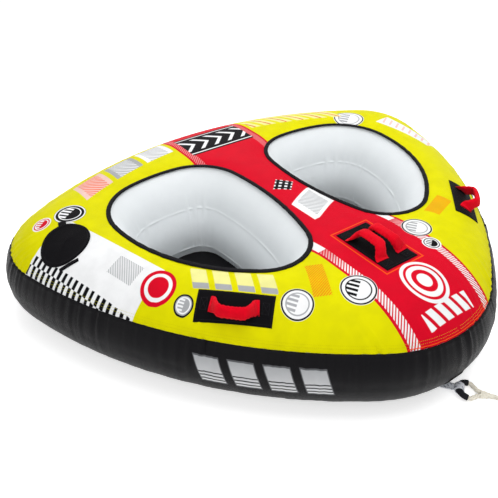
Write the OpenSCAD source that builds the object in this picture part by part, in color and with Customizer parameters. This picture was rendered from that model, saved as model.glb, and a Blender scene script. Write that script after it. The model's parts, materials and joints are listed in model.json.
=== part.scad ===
// Two-rider towable tube: a welded air bladder with two open cockpits, in a sewn cover with
// padded grips, a valve under a fabric flap, a rear zip and a tow strap with a spliced rope.
// Millimetres, +Z up, nose and tow strap towards -Y, left cockpit at -X.

/* [Hull outline at the top seam] */
// Y of the nose on the top seam
nose_y = -702; // [-716:1:-686]
// Radius of the nose in plan
nose_r = 388; // [360:1:420]
// Distance of the rear corners' centres from the centre line
corner_x = 602; // [590:1:620]
// Y of the rear corners' centres
corner_y = 279; // [264:1:294]
// Radius of the rear corners in plan
corner_r = 253; // [235:1:270]
// Radius of the long sides in plan
side_r = 1533; // [1450:1:1700]
// Radius of the rear edge in plan
rear_r = 1359; // [1250:1:1600]

/* [Hull section] */
// Height of the crown
crown_z = 325; // [305:1:345]
// Distance from the top seam in to the crown
crown_run = 210; // [190:1:225]
// How far the side swells beyond the top seam
bulge = 30; // [24:1:36]
// Height of the widest line of the side
bulge_z = 142; // [132:1:152]
// Distance from the top seam in to the flat underside
tuck = 95; // [80:1:110]
// Angle on the lower curve where the side band meets the bottom panel
band_end = 78; // [76:1:80]

/* [Cockpits] */
// Height of the cockpit rims
rim_z = 315; // [300:1:320]
// Distance over which the deck rolls down to the rim
rim_soft = 68; // [50:1:75]
// Rim corner at the front: distance from the centre line
front_x = 250; // [244:1:256]
// Rim corner at the front: Y of its centre
front_y = -154; // [-160:1:-148]
// Rim corner at the front: radius
front_r = 148; // [142:1:154]
// Rim corner at the rear, inner side: distance from the centre line
inner_x = 251; // [246:1:258]
// Rim corner at the rear, inner side: Y of its centre
inner_y = 203; // [196:1:210]
// Rim corner at the rear, inner side: radius
inner_r = 171; // [164:1:176]
// Rim corner at the rear, outer side: distance from the centre line
outer_x = 367; // [360:1:374]
// Rim corner at the rear, outer side: Y of its centre
outer_y = 162; // [154:1:170]
// Rim corner at the rear, outer side: radius
outer_r = 202; // [194:1:210]
// Radius of the rim's inner side
inner_side_r = 982; // [920:1:1200]
// Radius of the rim's rear side
rear_side_r = 531; // [500:1:600]
// Radius of the rim's outer side
outer_side_r = 539; // [510:1:600]
// Upper weld ring: distance in from the rim
upper_weld_in = 71; // [62:1:80]
// Upper weld ring: height
upper_weld_z = 187; // [175:1:200]
// Lower weld ring: distance in from the rim
lower_weld_in = 94; // [86:1:102]
// Lower weld ring: height
lower_weld_z = 34; // [26:1:44]
// How far the cockpit wall swells between its welds
wall_swell = 11; // [6:1:14]
// Foot of the cockpit wall: distance in from the rim
foot_in = 84; // [76:1:90]

/* [Cover] */
// Thickness of the cover fabric
cover_t = 1.2; // [1:0.1:1.6]
// Slack between cover and bladder
cover_gap = 0.3; // [0.3:0.1:0.4]
// Width of the cockpit rim binding
binding_w = 15; // [12:1:17]
// Height of the cockpit rim binding
binding_h = 7; // [6:0.5:8]
// Slack under the rim binding
binding_gap = 0.8; // [0.7:0.1:0.9]
// Slack between a sewn patch and the panel under it
patch_gap = 0.7; // [0.6:0.1:0.8]
// Thickness of sewn patches
patch_t = 1.6; // [1.2:0.1:2]

/* [Grips] */
// Span of a grip between its sewn ends
grip_span = 122; // [116:1:128]
// Width of the grip band
grip_w = 42; // [38:1:44]
// Thickness of the padded grip
grip_t = 12; // [11:0.5:13]
// Wall of the grip sleeve
sleeve_t = 1.5; // [1.2:0.1:1.8]
// Slack between the sleeve and its foam core
core_gap = 0.4; // [0.3:0.1:0.5]
// Height of the grip's turning line over its patch
turn_h = 21; // [20:0.5:24]
// Distance from the turning line to the padded sleeve
neck_r = 12; // [11:0.5:13]
// Rise of the grip over its sleeve ends
grip_rise = 20; // [17:1:22]
// Slack between a sewn neck and the padded grip
neck_gap = 0.4; // [0.3:0.1:0.6]
// Thickness of the webbing
webbing_t = 2.5; // [2:0.1:3]
// Side grip patch: distance from the centre line
side_patch_x = 463; // [457:1:469]
// Side grip patch: Y of its centre
side_patch_y = -330; // [-336:1:-324]
// Side grip patch: turn from the X axis
side_patch_turn = 45; // [42:1:48]
// Side grip patch: length
side_patch_l = 208; // [200:1:214]
// Side grip patch: width
side_patch_w = 78; // [76:1:86]
// Lean of the side grips at rest
side_lean = 68; // [60:1:70]
// Centre grip patch: Y of its centre
centre_patch_y = -378; // [-384:1:-372]
// Centre grip patch: length
centre_patch_l = 206; // [198:1:212]
// Centre grip patch: width
centre_patch_w = 122; // [120:1:130]
// Distance of the centre grips' turning lines from the centre line
centre_grip_x = 40; // [39:0.5:41]
// Lean of the centre grips at rest, towards each other
centre_lean = 38; // [30:1:42]

/* [Valve] */
// Distance of the valve from the centre line
valve_x = 720; // [716:1:722]
// Y of the valve
valve_y = 180; // [176:1:186]
// Radius of the fabric flap over the valve
flap_r = 75; // [72:1:77]
// Thickness of the fabric flap
flap_t = 2.2; // [1.8:0.1:2.6]
// Slack between the flap and the panel under it
flap_gap = 0.95; // [0.9:0.01:0.98]
// Length of the flap's pull tab
tab_l = 20; // [16:1:22]
// Width of the flap's pull tab
tab_w = 24; // [20:1:28]
// Heading of the pull tab from the X axis
tab_heading = 73; // [68:1:78]
// Radius of the access hole in the top panel
access_r = 48; // [47:0.5:52]
// Radius of the valve's welded flange
flange_r = 42; // [40:0.5:44]
// Thickness of the valve's flange
flange_t = 3; // [2.5:0.1:3.5]
// Depth of the flange below the cover
flange_drop = 9; // [8.5:0.1:10]
// Radius of the valve bore
valve_bore_r = 19; // [18:0.5:20]
// Wall of the valve body
valve_wall = 3.5; // [3:0.1:4]
// Depth of the valve body under its flange
valve_depth = 34; // [30:1:38]
// Slack around the valve in the bladder
valve_gap = 0.3; // [0.2:0.05:0.4]
// Radius of the valve cap's rim
cap_r = 27; // [26:0.5:29]
// Thickness of the valve cap's rim
cap_t = 3; // [2.5:0.1:3.2]
// Length of the cap's plug
plug_l = 14; // [12:1:16]
// Slack of the plug in the bore
plug_gap = 0.3; // [0.3:0.05:0.4]
// Thickness of the cap's tether
tether_t = 1; // [0.8:0.1:1.2]
// Thickness of the one-way diaphragm
diaphragm_t = 1.6; // [1.2:0.1:2]

/* [Zip] */
// Half the angle that the zip takes on the rear edge
zip_half = 12.5; // [10:0.5:15]
// Width of the zip tape
tape_w = 28; // [24:1:30]
// Thickness of the zip tape
tape_t = 1; // [0.8:0.1:1.2]
// Width of the closed teeth
teeth_w = 7; // [6:0.5:8]
// Thickness of the closed teeth
teeth_t = 2.4; // [2:0.1:2.8]
// Slack between the slider and what it runs on
slider_gap = 0.4; // [0.3:0.1:0.6]
// Wall of the slider
slider_wall = 1.6; // [1.4:0.1:2]
// Length of the slider as an angle on the rear edge
slider_span = 0.8; // [0.7:0.05:1]
// Radius of the slider's bridge pin
bridge_r = 1.4; // [1.2:0.1:1.6]
// Slack of the pull on its bridge pin
pull_gap = 0.3; // [0.2:0.05:0.4]
// Length of the zip pull
pull_l = 34; // [28:1:40]
// Width of the zip pull
pull_w = 9; // [8:0.5:10]
// Thickness of the zip pull
pull_t = 2; // [1.6:0.1:2.4]

/* [Tow] */
// Width of the tow webbing
strap_w = 38; // [34:1:40]
// Width of the folded end of the tow webbing
fold_w = 24; // [22:1:26]
// Turn of the tow strap towards +X
tow_turn = 38; // [34:1:42]
// Distance from the sewn line to the folded end
strap_l = 62; // [58:1:66]
// Diameter of the tow rope
rope_d = 14; // [13:0.5:15]
// Wall of the chafe sleeve on the rope
chafe_t = 1.5; // [1.2:0.1:1.8]
// Slack of the rope in its sleeve
rope_gap = 0.3; // [0.2:0.05:0.4]
// Bend radius of the rope eye
eye_r = 28; // [28:0.5:30]
// Length of the rope eye
eye_l = 60; // [56:1:64]
// Length of the splice
splice_l = 35; // [30:1:38]

/* [Hidden] */
$fn = 48;

// Columns around a cockpit: those that end on the centre line, then those that end on the seam
centre_columns = 18;
seam_columns = 34;
columns = centre_columns + seam_columns;
// Shares of the way from the rim binding to the seam or centre line
deck_steps = [0, 0.1, 0.24, 0.42, 0.6, 0.76, 0.89, 1];
// Rows of the side band over and under its widest line, and of each part of a cockpit wall
band_rows = 2;
low_rows = 4;
wall_rows = 3;
// Step that keeps two sewn edges from touching, in degrees of the section curve
stitch_step = 0.15;

cover_in = cover_gap;
cover_out = cover_gap + cover_t;
base_z = cover_out;
binding_edge = binding_w / 2 + 0.5;
rim_drop = crown_z - rim_z;
crown_a = crown_run + bulge;
crown_b = crown_z - bulge_z;
low_a = bulge + tuck;
low_b = bulge_z - base_z;
seam_angle = asin(crown_run / crown_a);

function unit(v) = v / norm(v);
function heading(a) = [cos(a), sin(a)];
function angle_of(v) = atan2(v[1], v[0]);
function turn(a) = a - 360 * floor(a / 360);
function flat(p) = [p[0], p[1]];
function mirrored(p) = [-p[0], p[1], p[2]];
function ease(t) = (1 - cos(180 * t)) / 2;
function reversed(list) = [for (k = [len(list) - 1:-1:0]) list[k]];

// Outlines: corner circles [x, y, r] taken anticlockwise, joined by larger tangent arcs.
// An outline is a list of [first normal angle, span, centre, radius].
function tangent_centre(a, b, r) =
    let (d = flat(b) - flat(a), l = norm(d), e = d / l, ra = r - a[2], rb = r - b[2],
         u = (ra * ra - rb * rb + l * l) / (2 * l), v = sqrt(ra * ra - u * u))
    flat(a) + e * u + [-e[1], e[0]] * v;
function outline(corners, sides) =
    let (n = len(corners),
         mids = [for (k = [0:n - 1]) tangent_centre(corners[k], corners[(k + 1) % n], sides[k])])
    [for (k = [0:n - 1])
        let (c = flat(corners[k]), next = flat(corners[(k + 1) % n]),
             first = angle_of(c - mids[(k + n - 1) % n]),
             middle = angle_of(c - mids[k]), last = angle_of(next - mids[k]))
        each [[first, turn(middle - first), c, corners[k][2]],
              [middle, turn(last - middle), mids[k], sides[k]]]];
function arc_at(arcs, a) = [for (k = arcs) if (turn(a - k[0]) <= k[1] + 1e-6) k][0];
function edge_at(arcs, a, out = 0) = let (k = arc_at(arcs, a)) k[2] + (k[3] + out) * heading(a);
// Normal angle of the outline's point that lies at heading h from c
function aim(arcs, c, h, out, low, high, steps = 34) =
    let (middle = (low + high) / 2)
    steps == 0 ? middle
    : cross(heading(h), edge_at(arcs, middle, out) - c) > 0 ? aim(arcs, c, h, out, low, middle, steps - 1)
    : aim(arcs, c, h, out, middle, high, steps - 1);

hull = outline([[0, nose_y + nose_r, nose_r], [corner_x, corner_y, corner_r], [-corner_x, corner_y, corner_r]],
               [side_r, rear_r, side_r]);
rim = outline([[-front_x, front_y, front_r], [-inner_x, inner_y, inner_r], [-outer_x, outer_y, outer_r]],
              [inner_side_r, rear_side_r, outer_side_r]);
rear_y = edge_at(hull, 90)[1];
rear_centre = [0, rear_y - rear_r];
cockpit = ([-front_x, front_y] + [-inner_x, inner_y] + [-outer_x, outer_y]) / 3;

// Distance in from the seam, with the seam's normal there
seam_normals = [for (a = [0:2:358]) [heading(a), edge_at(hull, a) * heading(a)]];
function seam_distance(p) =
    let (d = [for (n = seam_normals) n[1] - n[0] * p], least = min(d))
    [least, seam_normals[search(least, d)[0]][0]];

// Section curves: distance out from the seam, height, and the normal's two parts
function upper(a) = [crown_a * sin(a) - crown_run, bulge_z + crown_b * cos(a),
                     unit([sin(a) / crown_a, cos(a) / crown_b])];
function lower(a) = [low_a * cos(a) - tuck, bulge_z - low_b * sin(a),
                     unit([cos(a) / low_a, -sin(a) / low_b])];

// Share of the left half of the seam, from the rear, by turn and by length alike
function seam_run(a) =
    [for (k = hull) let (f = turn(k[0] + 90) - 180) k[3] * max(0, min(a - 90, f + k[1]) - max(0, f))]
    * [for (k = hull) 1];
seam_length = seam_run(270);
function seam_share(a) = ((a - 90) / 180 + seam_run(a) / seam_length) / 2;
function seam_turn(share, low = 90, high = 270, steps = 30) =
    let (middle = (low + high) / 2)
    steps == 0 ? middle
    : seam_share(middle) > share ? seam_turn(share, low, middle, steps - 1)
    : seam_turn(share, middle, high, steps - 1);

// Columns of the left half: [normal angle on the rim, normal angle on the seam, start, end]
function on_seam(i) = i == 0 || i >= centre_columns;
column = [for (i = [0:columns - 1])
    let (seam_a = i == 0 ? 270 : i <= centre_columns ? 90 : seam_turn((i - centre_columns) / seam_columns),
         end = i <= centre_columns ? [0, nose_y + (rear_y - nose_y) * ease(i / centre_columns)]
             : edge_at(hull, seam_a),
         h = angle_of(end - cockpit), rim_a = aim(rim, cockpit, h, binding_edge, h - 90, h + 90))
    [rim_a, seam_a, edge_at(rim, rim_a, binding_edge), end]];
nose_heading = angle_of([0, nose_y] - cockpit);
column_turn = [for (c = column) turn(angle_of(c[3] - cockpit) - nose_heading)];

// Deck points and normals of the left half: deck[step][column] = [point, normal]
deck = [for (s = deck_steps) [for (i = [0:columns - 1])
    let (c = column[i], way = c[3] - c[2], p = c[2] + way * s, edge = s == 1 && on_seam(i),
         near = edge ? [0, heading(c[1])] : seam_distance(p),
         across = min(1, max(0, (crown_run - near[0]) / crown_a)), down = sqrt(1 - across * across),
         roll = 1 - min(1, (binding_edge + s * norm(way)) / rim_soft),
         n = unit([across / crown_a * near[1][0], across / crown_a * near[1][1], down / crown_b]))
    [[p[0], p[1], bulge_z + crown_b * down - rim_drop * roll * roll],
     s == 1 && (i <= centre_columns) ? [0, n[1], n[2]] : n]]];
function deck_row(j, out) = [for (i = [0:columns - 1]) deck[j][i][0] + out * deck[j][i][1]];

// A point of the hull side or underside on one column, for a point of the section curves
function side_point(i, section, out) =
    let (a = column[i % columns][1], q = edge_at(hull, a, section[0] + out * section[2][0]))
    [i % columns == 0 || i == centre_columns ? 0 : q[0], q[1], section[1] + out * section[2][1]];
function side_row(section, out) = [for (i = [centre_columns:columns]) side_point(i, section, out)];
function hull_ring(section, out) =
    let (left = side_row(section, out))
    concat(left, [for (k = [len(left) - 2:-1:1]) mirrored(left[k])]);

// Triangles: rows run along the first direction and columns along the second, seen from outside
function strip(rows, closed) =
    let (m = len(rows[0]))
    [for (j = [0:len(rows) - 2], i = [0:closed ? m - 1 : m - 2])
        let (k = (i + 1) % m, a = rows[j][i], b = rows[j][k], c = rows[j + 1][k], d = rows[j + 1][i])
        each [[a, b, c], [a, c, d]]];
function fan(ring, middle) = [for (i = [0:len(ring) - 1]) [ring[i], ring[(i + 1) % len(ring)], middle]];
function flipped(triangles) = [for (t = triangles) [t[0], t[2], t[1]]];
function both_halves(triangles) =
    concat(triangles, [for (t = triangles) [mirrored(t[0]), mirrored(t[2]), mirrored(t[1])]]);
function middle_of(points) = [for (k = [0:2]) [for (p = points) p[k]] * [for (p = points) 1] / len(points)];
module solid(triangles)
    polyhedron([for (t = triangles, p = t) p], [for (k = [0:len(triangles) - 1]) [3 * k, 3 * k + 1, 3 * k + 2]]);
// A closed skin between an outer and an inner stack of closed rings
function shell(outer, inner) = strip(concat(outer, reversed(inner), [outer[0]]), true);
// A closed tube through rings, with flat ends
function tube(rings) =
    concat(strip(rings, true), fan(rings[len(rings) - 1], middle_of(rings[len(rings) - 1])),
           flipped(fan(rings[0], middle_of(rings[0]))));

// Cockpit wall rows of the left half, from the foot up to the rim
function wall_point(a, low, high, t) =
    let (d = high - low, n = unit([d[1], -d[0]]), q = low + d * t + n * wall_swell * sin(180 * t),
         p = edge_at(rim, a, -q[0]))
    [p[0], p[1], q[1]];
foot = [foot_in, base_z];
lower_weld = [lower_weld_in, lower_weld_z];
upper_weld = [upper_weld_in, upper_weld_z];
rim_line = [0, rim_z];
wall_steps = concat([[foot, foot, 0]],
    [for (k = [0:wall_rows]) [lower_weld, upper_weld, k / wall_rows]],
    [for (k = [1:wall_rows]) [upper_weld, rim_line, k / wall_rows]]);
function wall_row(step) = [for (i = [0:columns - 1])
    step[0] == step[1]
    ? let (p = edge_at(rim, column[i][0], -step[0][0])) [p[0], p[1], step[0][1]]
    : wall_point(column[i][0], step[0], step[1], step[2])];

// Section rows of the side band, and of the turn under it
band_sections = concat(
    [for (k = [0:band_rows]) upper(seam_angle + (90 - seam_angle) * k / band_rows)],
    [for (k = [1:low_rows]) lower(band_end * k / low_rows)]);
under_sections = [for (k = [0:2]) lower(band_end + (90 - band_end) * k / 2)];

module bladder()
    color("gainsboro")
    difference() {
        solid(both_halves(concat(
            strip(concat([for (s = wall_steps) wall_row(s)],
                         [for (j = [0:len(deck_steps) - 1]) deck_row(j, 0)]), true),
            strip(concat([[for (i = [centre_columns:columns]) deck[len(deck_steps) - 1][i % columns][0]]],
                         [for (k = [1:len(band_sections) - 1]) side_row(band_sections[k], 0)],
                         [for (k = [1:2]) side_row(under_sections[k], 0)]), false),
            strip([underside_edge, wall_row(wall_steps[0])], true))));
        valve_place()
            translate([0, 0, -flange_drop - flange_t - valve_gap])
                cylinder(r = flange_r + valve_gap, h = 60);
        valve_place()
            translate([0, 0, -flange_drop - flange_t - valve_depth - valve_gap])
                cylinder(r = valve_bore_r + valve_wall + valve_gap, h = valve_depth + 1);
    }
// Edge of the flat underside: on the seam columns its last section row, elsewhere the centre line
underside_ends = [side_point(0, under_sections[2], 0)[1], side_point(centre_columns, under_sections[2], 0)[1]];
underside_edge = [for (i = [0:columns - 1])
    on_seam(i) ? side_point(i, under_sections[2], 0)
    : let (t = (column[i][3][1] - nose_y) / (rear_y - nose_y))
      [0, underside_ends[0] + (underside_ends[1] - underside_ends[0]) * t, base_z]];

module top_panel()
    color("yellow")
    difference() {
        solid(both_halves(
            let (last = len(deck_steps) - 1, outer = [for (j = [0:last]) deck_row(j, cover_out)],
                 inner = [for (j = [0:last]) deck_row(j, cover_in)])
            concat(strip(outer, true), flipped(strip(inner, true)), strip([inner[0], outer[0]], true),
                   strip([[for (i = [centre_columns:columns]) outer[last][i % columns]],
                          [for (i = [centre_columns:columns]) inner[last][i % columns]]], false))));
        valve_place() translate([0, 0, -20]) cylinder(r = access_r, h = 60);
    }

module side_band() {
    rows = concat([upper(seam_angle + stitch_step)], [for (k = [1:len(band_sections) - 1]) band_sections[k]]);
    color("black")
        solid(shell([for (s = rows) hull_ring(s, cover_out)], [for (s = rows) hull_ring(s, cover_in)]));
}

module bottom_panel() {
    rows = concat([lower(band_end + stitch_step)], [under_sections[1], under_sections[2]]);
    outer = [for (s = rows) hull_ring(s, cover_out)];
    inner = [for (s = rows) hull_ring(s, cover_in)];
    color("black")
        solid(concat(strip(outer, true), flipped(strip(inner, true)), strip([inner[0], outer[0]], true),
                     fan(outer[2], [0, 0, base_z - cover_out]),
                     flipped(fan(inner[2], [0, 0, base_z - cover_in]))));
}

// Rim binding: a flat oval sewn round the cockpit rim
binding_sides = 8;
module rim_binding()
    color("black")
    solid(strip([for (k = [0:binding_sides])
        let (a = -360 * k / binding_sides)
        [for (i = [0:columns - 1])
            let (p = edge_at(rim, column[i][0], binding_w / 2 * cos(a)))
            [p[0], p[1], rim_z + binding_gap + binding_h / 2 * (1 + sin(a))]]], true));
module left_rim_binding() rim_binding();
module right_rim_binding() mirror([1, 0, 0]) rim_binding();

// Height of the top panel's faceted outer face over a point of the plan
deck_out = [for (j = [0:len(deck_steps) - 1]) deck_row(j, cover_out)];
function facet_z(p, a, b, c) =
    let (u = flat(b) - flat(a), v = flat(c) - flat(a), w = p - flat(a), d = cross(u, v),
         s = cross(w, v) / d, t = cross(u, w) / d)
    s >= -1e-6 && t >= -1e-6 && s + t <= 1 + 1e-6 ? a[2] + s * (b[2] - a[2]) + t * (c[2] - a[2]) : undef;
function seat(p) =
    let (q = [-abs(p[0]), p[1]], h = turn(angle_of(q - cockpit) - nose_heading),
         first = len([for (t = column_turn) if (t <= h) t]) - 1)
    [for (i = [first - 1:first + 1], j = [0:len(deck_steps) - 2])
        let (m = (i + columns) % columns, k = (m + 1) % columns,
             a = deck_out[j][m], b = deck_out[j][k], c = deck_out[j + 1][k], d = deck_out[j + 1][m],
             z1 = facet_z(q, a, b, c), z2 = facet_z(q, a, c, d))
        if (!is_undef(z1) || !is_undef(z2)) is_undef(z1) ? z2 : z1][0];

// A sheet laid on the top panel: rows of plan points, lifted from low to high
module draped(plan, low, high) {
    top = [for (row = plan) [for (p = row) [p[0], p[1], seat(p) + high]]];
    under = [for (row = plan) [for (p = row) [p[0], p[1], seat(p) + low]]];
    last = len(plan) - 1;
    wide = len(plan[0]) - 1;
    solid(concat(
        strip(top, false), flipped(strip(under, false)),
        strip([under[0], top[0]], false), strip([top[last], under[last]], false),
        flipped(strip([[for (r = under) r[0]], [for (r = top) r[0]]], false)),
        flipped(strip([[for (r = top) r[wide]], [for (r = under) r[wide]]], false))));
}
function rectangle(c, a, l, w, nl, nw) =
    [for (j = [0:nw]) [for (i = [0:nl])
        c - l * (i / nl - 0.5) * heading(a) + w * (j / nw - 0.5) * heading(a + 90)]];

// Grips: [plan point of the turning line's middle, heading of the span, lean, side of lean]
left_grip = [[-side_patch_x, side_patch_y], -side_patch_turn, side_lean];
centre_grip = [[-centre_grip_x, centre_patch_y], 90, centre_lean];
patch_top = patch_gap + patch_t;
function deck_slope(p, h, reach) =
    atan2(seat(p + reach * heading(h)) - seat(p - reach * heading(h)), 2 * reach);
// The frame of a grip: X along its span, Z square to its patch, origin on its turning line
module grip_place(grip) {
    foot_z = seat(grip[0]) + patch_top;
    translate([grip[0][0], grip[0][1], foot_z])
        rotate([0, 0, grip[1]])
            rotate([deck_slope(grip[0], grip[1] + 90, grip_w / 2), 0, 0])
                translate([0, 0, turn_h])
                    children();
}
grip_sides = 10;
grip_steps = 10;
// Rings of a band that follows the grip's arch
function grip_rings(w, t, short) = [for (k = [0:grip_steps])
    let (a = 180 * k / grip_steps, c = [-grip_span / 2 * cos(a), 0, neck_r + short + (grip_rise - short) * sin(a)],
         along = unit([grip_span / 2 * sin(a), 0, (grip_rise - short) * cos(a)]), up = cross([0, 1, 0], along))
    [for (i = [0:grip_sides - 1])
        let (b = 360 * i / grip_sides)
        c + w / 2 * cos(b) * [0, 1, 0] + t / 2 * sin(b) * up]];
module grip_sleeve()
    color("crimson")
    solid(shell(grip_rings(grip_w, grip_t, 0), grip_rings(grip_w - 2 * sleeve_t, grip_t - 2 * sleeve_t, 0)));
module grip_core() {
    slack = 2 * (sleeve_t + core_gap);
    color("dimgray") solid(tube(grip_rings(grip_w - slack, grip_t - slack, 0)));
}
// Two sewn webbing pads, each with a round-topped neck that reaches up to the turning line
tab_length = 36;
module grip_tabs(grip) {
    color("crimson")
        for (end = [-1, 1]) {
            draped(rectangle(grip[0] + end * (grip_span / 2 + tab_length / 2 - webbing_t) * heading(grip[1]),
                             grip[1], tab_length, grip_w - 4, 3, 4),
                   patch_top + patch_gap, patch_top + patch_gap + webbing_t);
            grip_place(grip)
                grip_neck(end, (seat(grip[0] + end * grip_span / 2 * heading(grip[1])) - seat(grip[0]))
                               * cos(deck_slope(grip[0], grip[1] + 90, grip_w / 2)));
        }
}
neck_foot = patch_gap + webbing_t / 2;
module grip_neck(end, rise)
    translate([end * grip_span / 2 - webbing_t / 2, 0, 0])
        rotate([90, 0, 90])
            linear_extrude(webbing_t)
                union() {
                    circle(neck_r - neck_gap);
                    translate([-neck_r + neck_gap, rise + neck_foot - turn_h])
                        square([2 * (neck_r - neck_gap), turn_h - neck_foot - rise]);
                }
module leaning(grip) grip_place(grip) rotate([grip[2], 0, 0]) children();

module left_grip_patch()
    color("black")
    draped(rectangle(left_grip[0], left_grip[1], side_patch_l, side_patch_w, 18, 10), patch_gap, patch_top);
module right_grip_patch() mirror([1, 0, 0]) left_grip_patch();
module centre_grip_patch()
    color("black")
    draped(rectangle([0, centre_patch_y], 90, centre_patch_l, centre_patch_w, 8, 6), patch_gap, patch_top);
module left_grip_tabs() grip_tabs(left_grip);
module right_grip_tabs() mirror([1, 0, 0]) grip_tabs(left_grip);
module centre_left_grip_tabs() grip_tabs(centre_grip);
module centre_right_grip_tabs() mirror([1, 0, 0]) grip_tabs(centre_grip);
module left_grip_sleeve() leaning(left_grip) grip_sleeve();
module right_grip_sleeve() mirror([1, 0, 0]) leaning(left_grip) grip_sleeve();
module centre_left_grip_sleeve() leaning(centre_grip) mirror([0, 1, 0]) grip_sleeve();
module centre_right_grip_sleeve() mirror([1, 0, 0]) centre_left_grip_sleeve();
module left_grip_core() leaning(left_grip) grip_core();
module right_grip_core() mirror([1, 0, 0]) leaning(left_grip) grip_core();
module centre_left_grip_core() leaning(centre_grip) grip_core();
module centre_right_grip_core() mirror([1, 0, 0]) centre_left_grip_core();

// Valve: its frame has Z along the deck's normal and its origin on the cover's outer face
valve_point = [-valve_x, valve_y];
valve_near = seam_distance(valve_point);
valve_across = max(0, crown_run - valve_near[0]) / crown_a;
valve_tilt = atan2(valve_across / crown_a, sqrt(1 - valve_across * valve_across) / crown_b);
module valve_place()
    translate([valve_point[0], valve_point[1], seat(valve_point)])
        rotate([0, 0, angle_of(valve_near[1])])
            rotate([0, valve_tilt, 0])
                children();
ledge_w = 4;
module valve_base()
    color("silver")
    valve_place()
        rotate_extrude()
            polygon([
                [valve_bore_r, -flange_drop], [flange_r, -flange_drop],
                [flange_r, -flange_drop - flange_t], [valve_bore_r + valve_wall, -flange_drop - flange_t],
                [valve_bore_r + valve_wall, -flange_drop - flange_t - valve_depth],
                [valve_bore_r - ledge_w, -flange_drop - flange_t - valve_depth],
                [valve_bore_r - ledge_w, -flange_drop - flange_t - valve_depth + ledge_w],
                [valve_bore_r, -flange_drop - flange_t - valve_depth + ledge_w]
            ]);
module valve_diaphragm()
    color("dimgray")
    valve_place()
        translate([0, 0, -flange_drop - flange_t - valve_depth + ledge_w])
            cylinder(r = valve_bore_r - plug_gap, h = diaphragm_t);
cap_low = -flange_drop + tether_t + plug_gap;
grip_slot = [8, 14];
module valve_cap()
    color("whitesmoke")
    valve_place()
        difference() {
            union() {
                translate([0, 0, cap_low]) cylinder(r = cap_r, h = cap_t);
                translate([0, 0, cap_low - plug_l]) cylinder(r = valve_bore_r - plug_gap, h = plug_l);
            }
            for (side = [-1, 1])
                translate([side * cap_r / 2 - grip_slot[0] / 2, -grip_slot[1] / 2, cap_low + cap_t / 3])
                    cube([grip_slot[0], grip_slot[1], cap_t]);
        }
module valve_tether()
    color("whitesmoke")
    valve_place()
        translate([0, 0, -flange_drop + plug_gap / 2])
            linear_extrude(tether_t)
                difference() {
                    union() {
                        circle(cap_r - 2);
                        translate([0, -5]) square([flange_r - 4, 10]);
                    }
                    circle(valve_bore_r + plug_gap);
                }

flap_rings = 6;
flap_sides = 32;
module valve_flap() {
    plan = [for (j = [1:flap_rings]) [for (i = [0:flap_sides - 1])
        valve_point + flap_r * j / flap_rings * heading(360 * i / flap_sides)]];
    top = [for (r = plan) [for (p = r) [p[0], p[1], seat(p) + flap_gap + flap_t]]];
    under = [for (r = plan) [for (p = r) [p[0], p[1], seat(p) + flap_gap]]];
    z = seat(valve_point) + flap_gap;
    last = flap_rings - 1;
    color("black")
        solid(concat(strip(top, true), flipped(strip(under, true)), strip([top[last], under[last]], true),
                     flipped(fan(top[0], [valve_point[0], valve_point[1], z + flap_t])),
                     fan(under[0], [valve_point[0], valve_point[1], z])));
}
module valve_flap_tab()
    color("black")
    draped(rectangle(valve_point + (flap_r + patch_gap + tab_l / 2) * heading(tab_heading), tab_heading,
                     tab_l, tab_w, 2, 2), flap_gap, flap_gap + flap_t);

// Sewn hem that holds the flap's front edge
hem_l = 12;
hem_w = 58;
module valve_flap_hem()
    color("black")
    draped(rectangle(valve_point - (flap_r + patch_gap + hem_l / 2) * heading(tab_heading), tab_heading,
                     hem_l, hem_w, 2, 7), flap_gap, flap_gap + patch_t);

// Zip: arcs about the centre of the rear edge's radius, on the widest line
tape_r = rear_r + bulge + cover_out + cover_gap;
teeth_r = tape_r + tape_t + plug_gap;
module on_rear(from, span)
    translate([rear_centre[0], rear_centre[1], bulge_z])
        rotate([0, 0, 90 + from])
            rotate_extrude(angle = span, $fn = 360)
                children();
module zip_tape()
    color("black")
    on_rear(-zip_half, 2 * zip_half)
        translate([tape_r, -tape_w / 2]) square([tape_t, tape_w]);
// Two closed coils side by side
module zip_teeth()
    color("dimgray")
    on_rear(-zip_half, 2 * zip_half)
        translate([teeth_r, 0])
            polygon([
                [0, -teeth_w / 2], [teeth_t * 0.6, -teeth_w / 2], [teeth_t, -teeth_w * 0.4],
                [teeth_t, -teeth_w * 0.14], [teeth_t * 0.6, 0], [teeth_t, teeth_w * 0.14],
                [teeth_t, teeth_w * 0.4], [teeth_t * 0.6, teeth_w / 2], [0, teeth_w / 2]
            ]);
slider_in = teeth_r + teeth_t + slider_gap;
slider_half = teeth_w / 2 + slider_gap + slider_wall;
bridge_out = slider_in + slider_wall + bridge_r + pull_t + pull_gap;
slider_from = zip_half - 2 * slider_span;
post_w = 2;
post_l = 6;
post_sink = 1;
leg_in = tape_r + tape_t + slider_gap;
module zip_slider()
    color("dimgray")
    union() {
        on_rear(slider_from, slider_span)
            polygon([
                [leg_in, -slider_half], [slider_in + slider_wall, -slider_half],
                [slider_in + slider_wall, slider_half], [leg_in, slider_half],
                [leg_in, slider_half - slider_wall], [slider_in, slider_half - slider_wall],
                [slider_in, -slider_half + slider_wall], [leg_in, -slider_half + slider_wall]
            ]);
        bridge_place() {
            for (side = [-1, 1])
                translate([slider_in + slider_wall - post_sink - bridge_out, -post_l / 2,
                           side * (slider_half - post_w) - post_w / 2])
                    cube([bridge_out + bridge_r + post_sink - slider_in - slider_wall, post_l, post_w]);
            translate([0, 0, -slider_half + post_w])
                cylinder(r = bridge_r, h = 2 * (slider_half - post_w));
        }
    }
module bridge_place()
    translate([rear_centre[0], rear_centre[1], bulge_z])
        rotate([0, 0, 90 + slider_from + slider_span / 2])
            translate([bridge_out, 0, 0])
                children();
pull_eye_h = 2 * (slider_half - 1.5 * post_w - pull_gap);
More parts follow.
